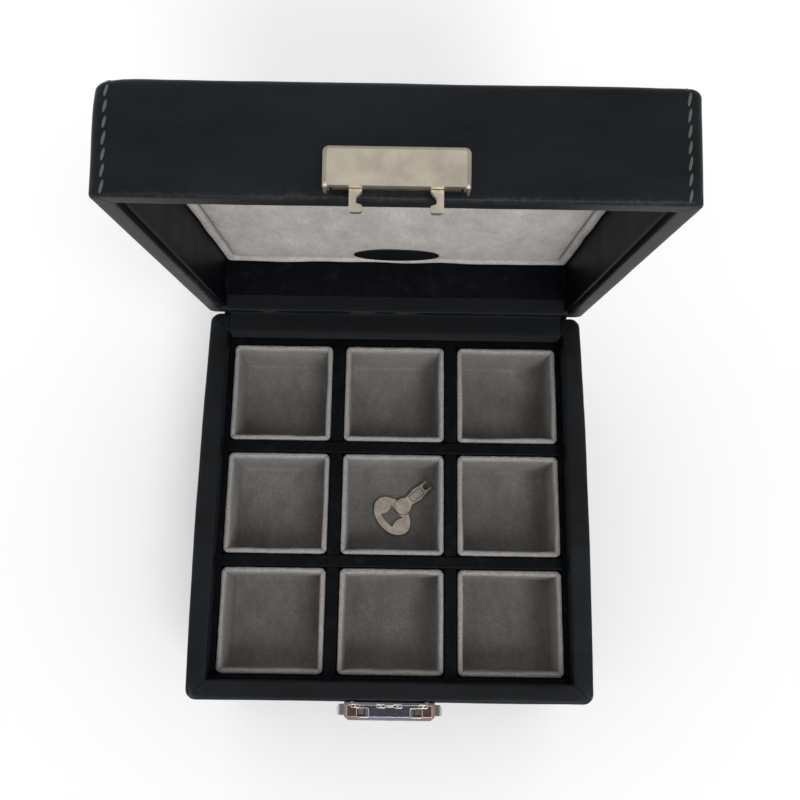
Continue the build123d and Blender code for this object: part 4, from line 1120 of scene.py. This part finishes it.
# ---------------------------------------------------------------- drawer
def drawer_face():
    """The leather over the drawer's front, a little full, turned over its edges."""
    look = bpy.context.scene.cuffbox_leather
    low, high = extent("drawer_front_leather")
    width, height = high[0] - low[0], high[2] - low[2]
    middle = (low[2] + high[2]) / 2
    profile = [(0.0, high[1], 0.5), (0.0, low[1] + 1.2, 0.6), (0.04, low[1] + 0.5, 0.7),
               (0.16, low[1] + 0.2, 0.8), (0.42, low[1] + 0.04, 1.0), (0.9, low[1], 1.2)]
    profile += [(inset, low[1], max(0.5, 1.4 - inset * 0.07))
                for inset in (2.0, 3.6, 5.6, 8.0, 10.5, 12.5, 13.8)]
    rings = []
    for inset, y, radius in profile:
        flat = outline(width - 2 * inset, height - 2 * inset, radius, 40)
        ring = np.column_stack([flat[:, 0], np.full(len(flat), y), flat[:, 1] + middle])
        if inset > 0.9:
            ring[:, 1] += 0.05 - np.minimum(wrap_waves(ring, look.slackness / MM, 95), 0.05)
        rings.append(ring)
    piece = add_piece("drawer_face", np.vstack(rings), skin_faces(rings, ("last",)),
                      finish("black_leather"))
    thicken(piece, 0.38)
    stand_for(piece, "drawer", "drawer_front_leather")


# ---------------------------------------------------------------- underside
def underside_felt():
    """The felt under the base, its border slightly soft."""
    low, high = extent("base_felt")
    width, depth = high[0] - low[0], high[1] - low[1]
    profile = [(0.3, high[2], 4.0), (0.0, high[2] - 0.1, 4.2), (0.02, low[2] + 0.25, 4.2),
               (0.25, low[2] + 0.02, 4.0), (0.8, low[2], 3.8), (3.0, low[2], 3.4)]
    rings = ring_stack(profile, width, depth, 30)
    piece = add_piece("underside_felt", np.vstack(rings), skin_faces(rings, ("first", "last")),
                      finish("black_felt"))
    stand_for(piece, "base", "base_felt")


# ---------------------------------------------------------------- lock trim and key border
def loop_tree():
    """Geometry nodes: a closed wire loop with rounded corners at every point."""
    return node_group("wire_loops", [
        ("Width", "Float"), ("Height", "Float"), ("Corner", "Float"), ("Wire", "Float"),
        ("Turn", "Float"),
    ], {
        "loop": ("GeometryNodeCurvePrimitiveQuadrilateral", {}, {}),
        "rounded": ("GeometryNodeFilletCurve", {"mode": "POLY"}, {"Count": 6}),
        "section": ("GeometryNodeCurvePrimitiveCircle", {}, {"Resolution": 8}),
        "tube": ("GeometryNodeCurveToMesh", {}, {}),
        "angles": ("ShaderNodeCombineXYZ", {}, {}),
    }, [
        ("given", "Width", "loop", "Width"), ("given", "Height", "loop", "Height"),
        ("loop", 0, "rounded", "Curve"), ("given", "Corner", "rounded", "Radius"),
        ("given", "Wire", "section", "Radius"), ("rounded", 0, "tube", "Curve"),
        ("section", 0, "tube", "Profile Curve"), ("given", "Turn", "angles", "Z"),
        ("given", "Geometry", "placed", "Points"), ("tube", 0, "placed", "Instance"),
        ("angles", 0, "placed", "Rotation"),
    ])


def wire_loops(name, spots, tree, width, height, corner, wire, finish_name, turn=0.0):
    """Flat wire loops at spots in millimetres, as one plain mesh."""
    mesh = bpy.data.meshes.new(name)
    mesh.from_pydata((np.array(spots, float) * MM).tolist(), [], [])
    piece = bpy.data.objects.new(name, mesh)
    bpy.context.scene.collection.objects.link(piece)
    add_nodes(piece, tree, {"Width": width * MM, "Height": height * MM, "Corner": corner * MM,
                            "Wire": wire * MM / 2, "Turn": turn, "Finish": finish(finish_name)})
    apply_modifiers(piece)
    if not piece.data.polygons:
        raise RuntimeError(f"{name}: the loop tree made nothing")
    return piece


def lock_trim(tree):
    """The lugs and bar at the back of the lock, the lips of its slots and its bright edges."""
    low, high = extent("lock_case")
    top, rear, front = high[2], high[1], low[1] + 1.2
    lugs = [(x, rear - 0.5, top + 0.1) for x in (-10.8, -2.7, 2.6, 10.7)]
    bar = [(-0.05, rear - 0.5, top + 0.1)]
    slots = [(-HOOK_X, HOOK_Y, top), (HOOK_X, HOOK_Y, top)]
    face = [(0.0, (rear + front) / 2 - 0.1, top - 0.06)]
    face_width, face_depth = high[0] - low[0] - 2.0, rear - front - 0.3
    for name, spots, width, depth, corner, wire in (
            ("lock_lugs", lugs, 2.8, 1.0, 0.45, 0.36),
            ("lug_rivets", lugs, 0.5, 0.3, 0.14, 0.3),
            ("lug_bar", bar, 2.5, 0.4, 0.15, 0.42),
            ("slot_lips", slots, 3.8, 2.8, 0.4, 0.34),
            ("case_edge", face, face_width, face_depth, 0.3, 0.22)):
        piece = wire_loops(name, spots, tree, width, depth, corner, wire, "bright_nickel")
        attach(piece, "base")


def key_border(tree):
    """The engraved border on the key's shank, left bare inside."""
    top = extent("key")[1][2]
    along = 11.7
    spot = (KEY_X + along * math.cos(KEY_TURN), KEY_Y + along * math.sin(KEY_TURN), top)
    piece = wire_loops("key_border", [spot], tree, 5.2, 2.7, 0.3, 0.26, "engraved_line", KEY_TURN)
    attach(piece, "key_body")


# ---------------------------------------------------------------- operators
class CUFFBOX_OT_leather(bpy.types.Operator):
    """Wrap the base, the lid and the drawer's front in leather"""
    bl_idname = "cuffbox.leather"
    bl_label = "Leather Wraps"

    def execute(self, context):
        base_wrap()
        lid_wrap()
        drawer_face()
        underside_felt()
        return {"FINISHED"}


class CUFFBOX_OT_stitching(bpy.types.Operator):
    """Sew the two rows of stitches along the lid's sides"""
    bl_idname = "cuffbox.stitching"
    bl_label = "Lid Stitching"

    def execute(self, context):
        wrap = bpy.data.objects.get("lid_wrap")
        if wrap is None:
            raise RuntimeError("the lid's leather comes before its stitching")
        tree = stitch_tree()
        for side, name in ((-1, "stitches_left"), (1, "stitches_right")):
            piece = stitch_row(name, lid_stitch_path(side, wrap), tree, 7 + side)
            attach(piece, "lid")
        return {"FINISHED"}


class CUFFBOX_OT_cups(bpy.types.Operator):
    """Make the nine suede cups and finish the dividers between them"""
    bl_idname = "cuffbox.cups"
    bl_label = "Suede Cups"

    def execute(self, context):
        look = context.scene.cuffbox_suede
        for row, row_name in enumerate(("front", "centre", "back")):
            for column, column_name in enumerate(("left", "middle", "right")):
                spot = f"{row_name}_{column_name}"
                padded_tray(f"suede_{spot}", f"cup_{spot}", "base",
                            look.cup_wall / MM, look.cup_depth / MM, 100 + 10 * row + column)
        for node in ("tray_lining", "divider_long_1", "divider_long_2", "divider_cross_1",
                     "divider_cross_2"):
            paint(node, "black_card")
        return {"FINISHED"}


class CUFFBOX_OT_lid_lining(bpy.types.Operator):
    """Line the lid with its suede pad, roll and bare oval label"""
    bl_idname = "cuffbox.lid_lining"
    bl_label = "Lid Lining"

    def execute(self, context):
        lid_cushion()
        lid_roll()
        lid_patch()
        paint("lid_side_lining", "black_card")
        return {"FINISHED"}


class CUFFBOX_OT_hinge(bpy.types.Operator):
    """Join the lid to the base with the cloth strip and the leather spine"""
    bl_idname = "cuffbox.hinge"
    bl_label = "Cloth Hinge"

    def execute(self, context):
        hinge_band()
        spine_band()
        return {"FINISHED"}


class CUFFBOX_OT_drawer(bpy.types.Operator):
    """Line the drawer and finish its box and knob"""
    bl_idname = "cuffbox.drawer"
    bl_label = "Drawer"

    def execute(self, context):
        low, high = extent("drawer_liner")
        padded_tray("drawer_suede", "drawer_liner", "drawer", 1.3,
                    high[2] - low[2] - 1.2, 211)
        paint("drawer_box", "black_card")
        paint("drawer_knob", "bright_nickel")
        paint("knob_screw", "spring_steel")
        return {"FINISHED"}


class CUFFBOX_OT_metalwork(bpy.types.Operator):
    """Finish the hasp, the lock and the key in nickel"""
    bl_idname = "cuffbox.metalwork"
    bl_label = "Hasp, Lock and Key"

    def execute(self, context):
        for node in ("hasp_cover", "hasp_hooks", "hasp_rivets"):
            paint(node, "satin_nickel")
        paint("key", "key_nickel")
        paint("lock_case", "lock_nickel")
        for node in ("lock_back_plate", "lock_rivets", "lock_rotor", "button_left",
                     "button_right"):
            paint(node, "bright_nickel")
        paint("catch_spring", "spring_steel")
        tree = loop_tree()
        lock_trim(tree)
        key_border(tree)
        return {"FINISHED"}


class CUFFBOX_OT_carcass(bpy.types.Operator):
    """Finish the boards inside the base, the lid and the drawer"""
    bl_idname = "cuffbox.carcass"
    bl_label = "Boards"

    def execute(self, context):
        for node in ("bottom_board", "wall_left", "wall_right", "wall_back", "front_rail",
                     "lid_board", "lid_wall_front", "lid_wall_back", "lid_wall_left",
                     "lid_wall_right", "drawer_front"):
            paint(node, "raw_board")
        paint("tray_board", "black_card")
        return {"FINISHED"}


class CUFFBOX_OT_studio(bpy.types.Operator):
    """Set the pale floor, the soft lights and the camera"""
    bl_idname = "cuffbox.studio"
    bl_label = "Studio"

    def execute(self, context):
        look = context.scene.cuffbox_studio
        make_floor(look)
        make_lights(look)
        make_camera(look)
        context.scene.view_settings.view_transform = "Standard"
        return {"FINISHED"}


def make_floor(look):
    """A plain pale floor, white to the camera and still shaded by the object."""
    half = look.floor_size / 2
    mesh = bpy.data.meshes.new("floor")
    mesh.from_pydata([(-half, -half, 0), (half, -half, 0), (half, half, 0), (-half, half, 0)],
                     [], [(0, 1, 2, 3)])
    f = Finish("floor")
    paper = f.noise(f.place(), 400.0, 2.0)
    seen = f.node("ShaderNodeLightPath", {}, {}, "Is Camera Ray")
    f.surface(Base_Color=f.mix(paper, (0.90, 0.90, 0.90), (0.93, 0.93, 0.93)),
              Roughness=0.85, Specular_IOR_Level=0.1,
              Emission_Color=f.mix(seen, (0, 0, 0), (1, 1, 1)), Emission_Strength=0.13)
    mesh.materials.append(f.material)
    floor = bpy.data.objects.new("floor", mesh)
    bpy.context.scene.collection.objects.link(floor)


def make_lights(look):
    """Even light from a white room, darker straight above, and two soft lamps in front."""
    f = Finish("room", "worlds")
    bpy.context.scene.world = f.material
    from_gap = f.node("ShaderNodeVectorMath", {"operation": "DISTANCE"},
                      {0: f.node("ShaderNodeTexCoord", {}, {}, "Generated"),
                       1: (0.03, -0.26, 0.965)}, "Value")
    wall = f.node("ShaderNodeMapRange", {"interpolation_type": "SMOOTHSTEP"},
                  {"Value": from_gap, "From Min": 0.12, "From Max": 0.42})
    seen = f.node("ShaderNodeLightPath", {}, {}, "Is Camera Ray")
    lit = f.mix(wall, (0.055, 0.050, 0.055), (1.0, 1.0, 1.0))
    room = f.node("ShaderNodeBackground", {},
                  {"Color": f.mix(seen, lit, (1.0, 1.0, 1.0)),
                   "Strength": seen * (1.0 - look.ambient) + look.ambient})
    f.node("ShaderNodeOutputWorld", {}, {"Surface": room})
    for name, share, from_where in (("key_lamp", 0.5, (0.36, -0.45, 1.0)),
                                    ("low_lamp", 0.65, (0.18, -1.15, 1.0))):
        lamp = bpy.data.lights.new(name, "SUN")
        lamp.energy = look.key_light * share
        lamp.angle = math.radians(20)
        place = bpy.data.objects.new(name, lamp)
        place.rotation_euler = Vector(from_where).to_track_quat("Z", "Y").to_euler()
        bpy.context.scene.collection.objects.link(place)


def make_camera(look):
    """The photograph's viewpoint, above and a little in front of the open box."""
    camera = bpy.data.cameras.new("camera")
    camera.lens = look.focal_length
    camera.sensor_width = 36.0
    camera.clip_start = 0.01
    camera.clip_end = 20.0
    eye = bpy.data.objects.new("camera", camera)
    place = Matrix.Translation((0.00054, -0.04461, 0.3678))
    right = (0.99988, 0.01388, 0.00831)
    up = (-0.01553, 0.96750, 0.25230)
    back = (-0.00454, -0.25240, 0.96760)
    eye.matrix_world = place @ Matrix((right, up, back)).transposed().to_4x4()
    bpy.context.scene.collection.objects.link(eye)
    bpy.context.scene.camera = eye


class CUFFBOX_PT_panel(bpy.types.Panel):
    """Lists the sizes, the colours and the steps of the cufflink box"""
    bl_label = "Cufflink Box"
    bl_idname = "CUFFBOX_PT_panel"
    bl_space_type = "VIEW_3D"
    bl_region_type = "UI"
    bl_category = "Cufflink Box"

    def draw(self, context):
        for group in GROUPS:
            box = self.layout.box()
            box.label(text=group.replace("cuffbox_", "").title())
            settings = getattr(context.scene, group)
            for name in settings.bl_rna.properties.keys():
                if name not in ("rna_type", "name"):
                    box.prop(settings, name)
        for step in STEPS:
            self.layout.operator(step.bl_idname)


GROUPS = {
    "cuffbox_leather": CUFFBOX_PG_leather,
    "cuffbox_stitching": CUFFBOX_PG_stitching,
    "cuffbox_suede": CUFFBOX_PG_suede,
    "cuffbox_metal": CUFFBOX_PG_metal,
    "cuffbox_studio": CUFFBOX_PG_studio,
}
STEPS = (CUFFBOX_OT_studio, CUFFBOX_OT_carcass, CUFFBOX_OT_leather, CUFFBOX_OT_stitching,
         CUFFBOX_OT_cups, CUFFBOX_OT_lid_lining, CUFFBOX_OT_hinge, CUFFBOX_OT_drawer,
         CUFFBOX_OT_metalwork)


def register():
    for group in GROUPS.values():
        bpy.utils.register_class(group)
    for step in STEPS:
        bpy.utils.register_class(step)
    bpy.utils.register_class(CUFFBOX_PT_panel)
    for name, group in GROUPS.items():
        setattr(bpy.types.Scene, name, PointerProperty(type=group))


def unregister():
    for name in GROUPS:
        delattr(bpy.types.Scene, name)
    bpy.utils.unregister_class(CUFFBOX_PT_panel)
    for step in reversed(STEPS):
        bpy.utils.unregister_class(step)
    for group in reversed(GROUPS.values()):
        bpy.utils.unregister_class(group)


def main():
    register()
    bpy.ops.cuffbox.studio()
    bpy.ops.cuffbox.carcass()
    bpy.ops.cuffbox.leather()
    bpy.ops.cuffbox.stitching()
    bpy.ops.cuffbox.cups()
    bpy.ops.cuffbox.lid_lining()
    bpy.ops.cuffbox.hinge()
    bpy.ops.cuffbox.drawer()
    bpy.ops.cuffbox.metalwork()


if __name__ == "__main__":
    main()
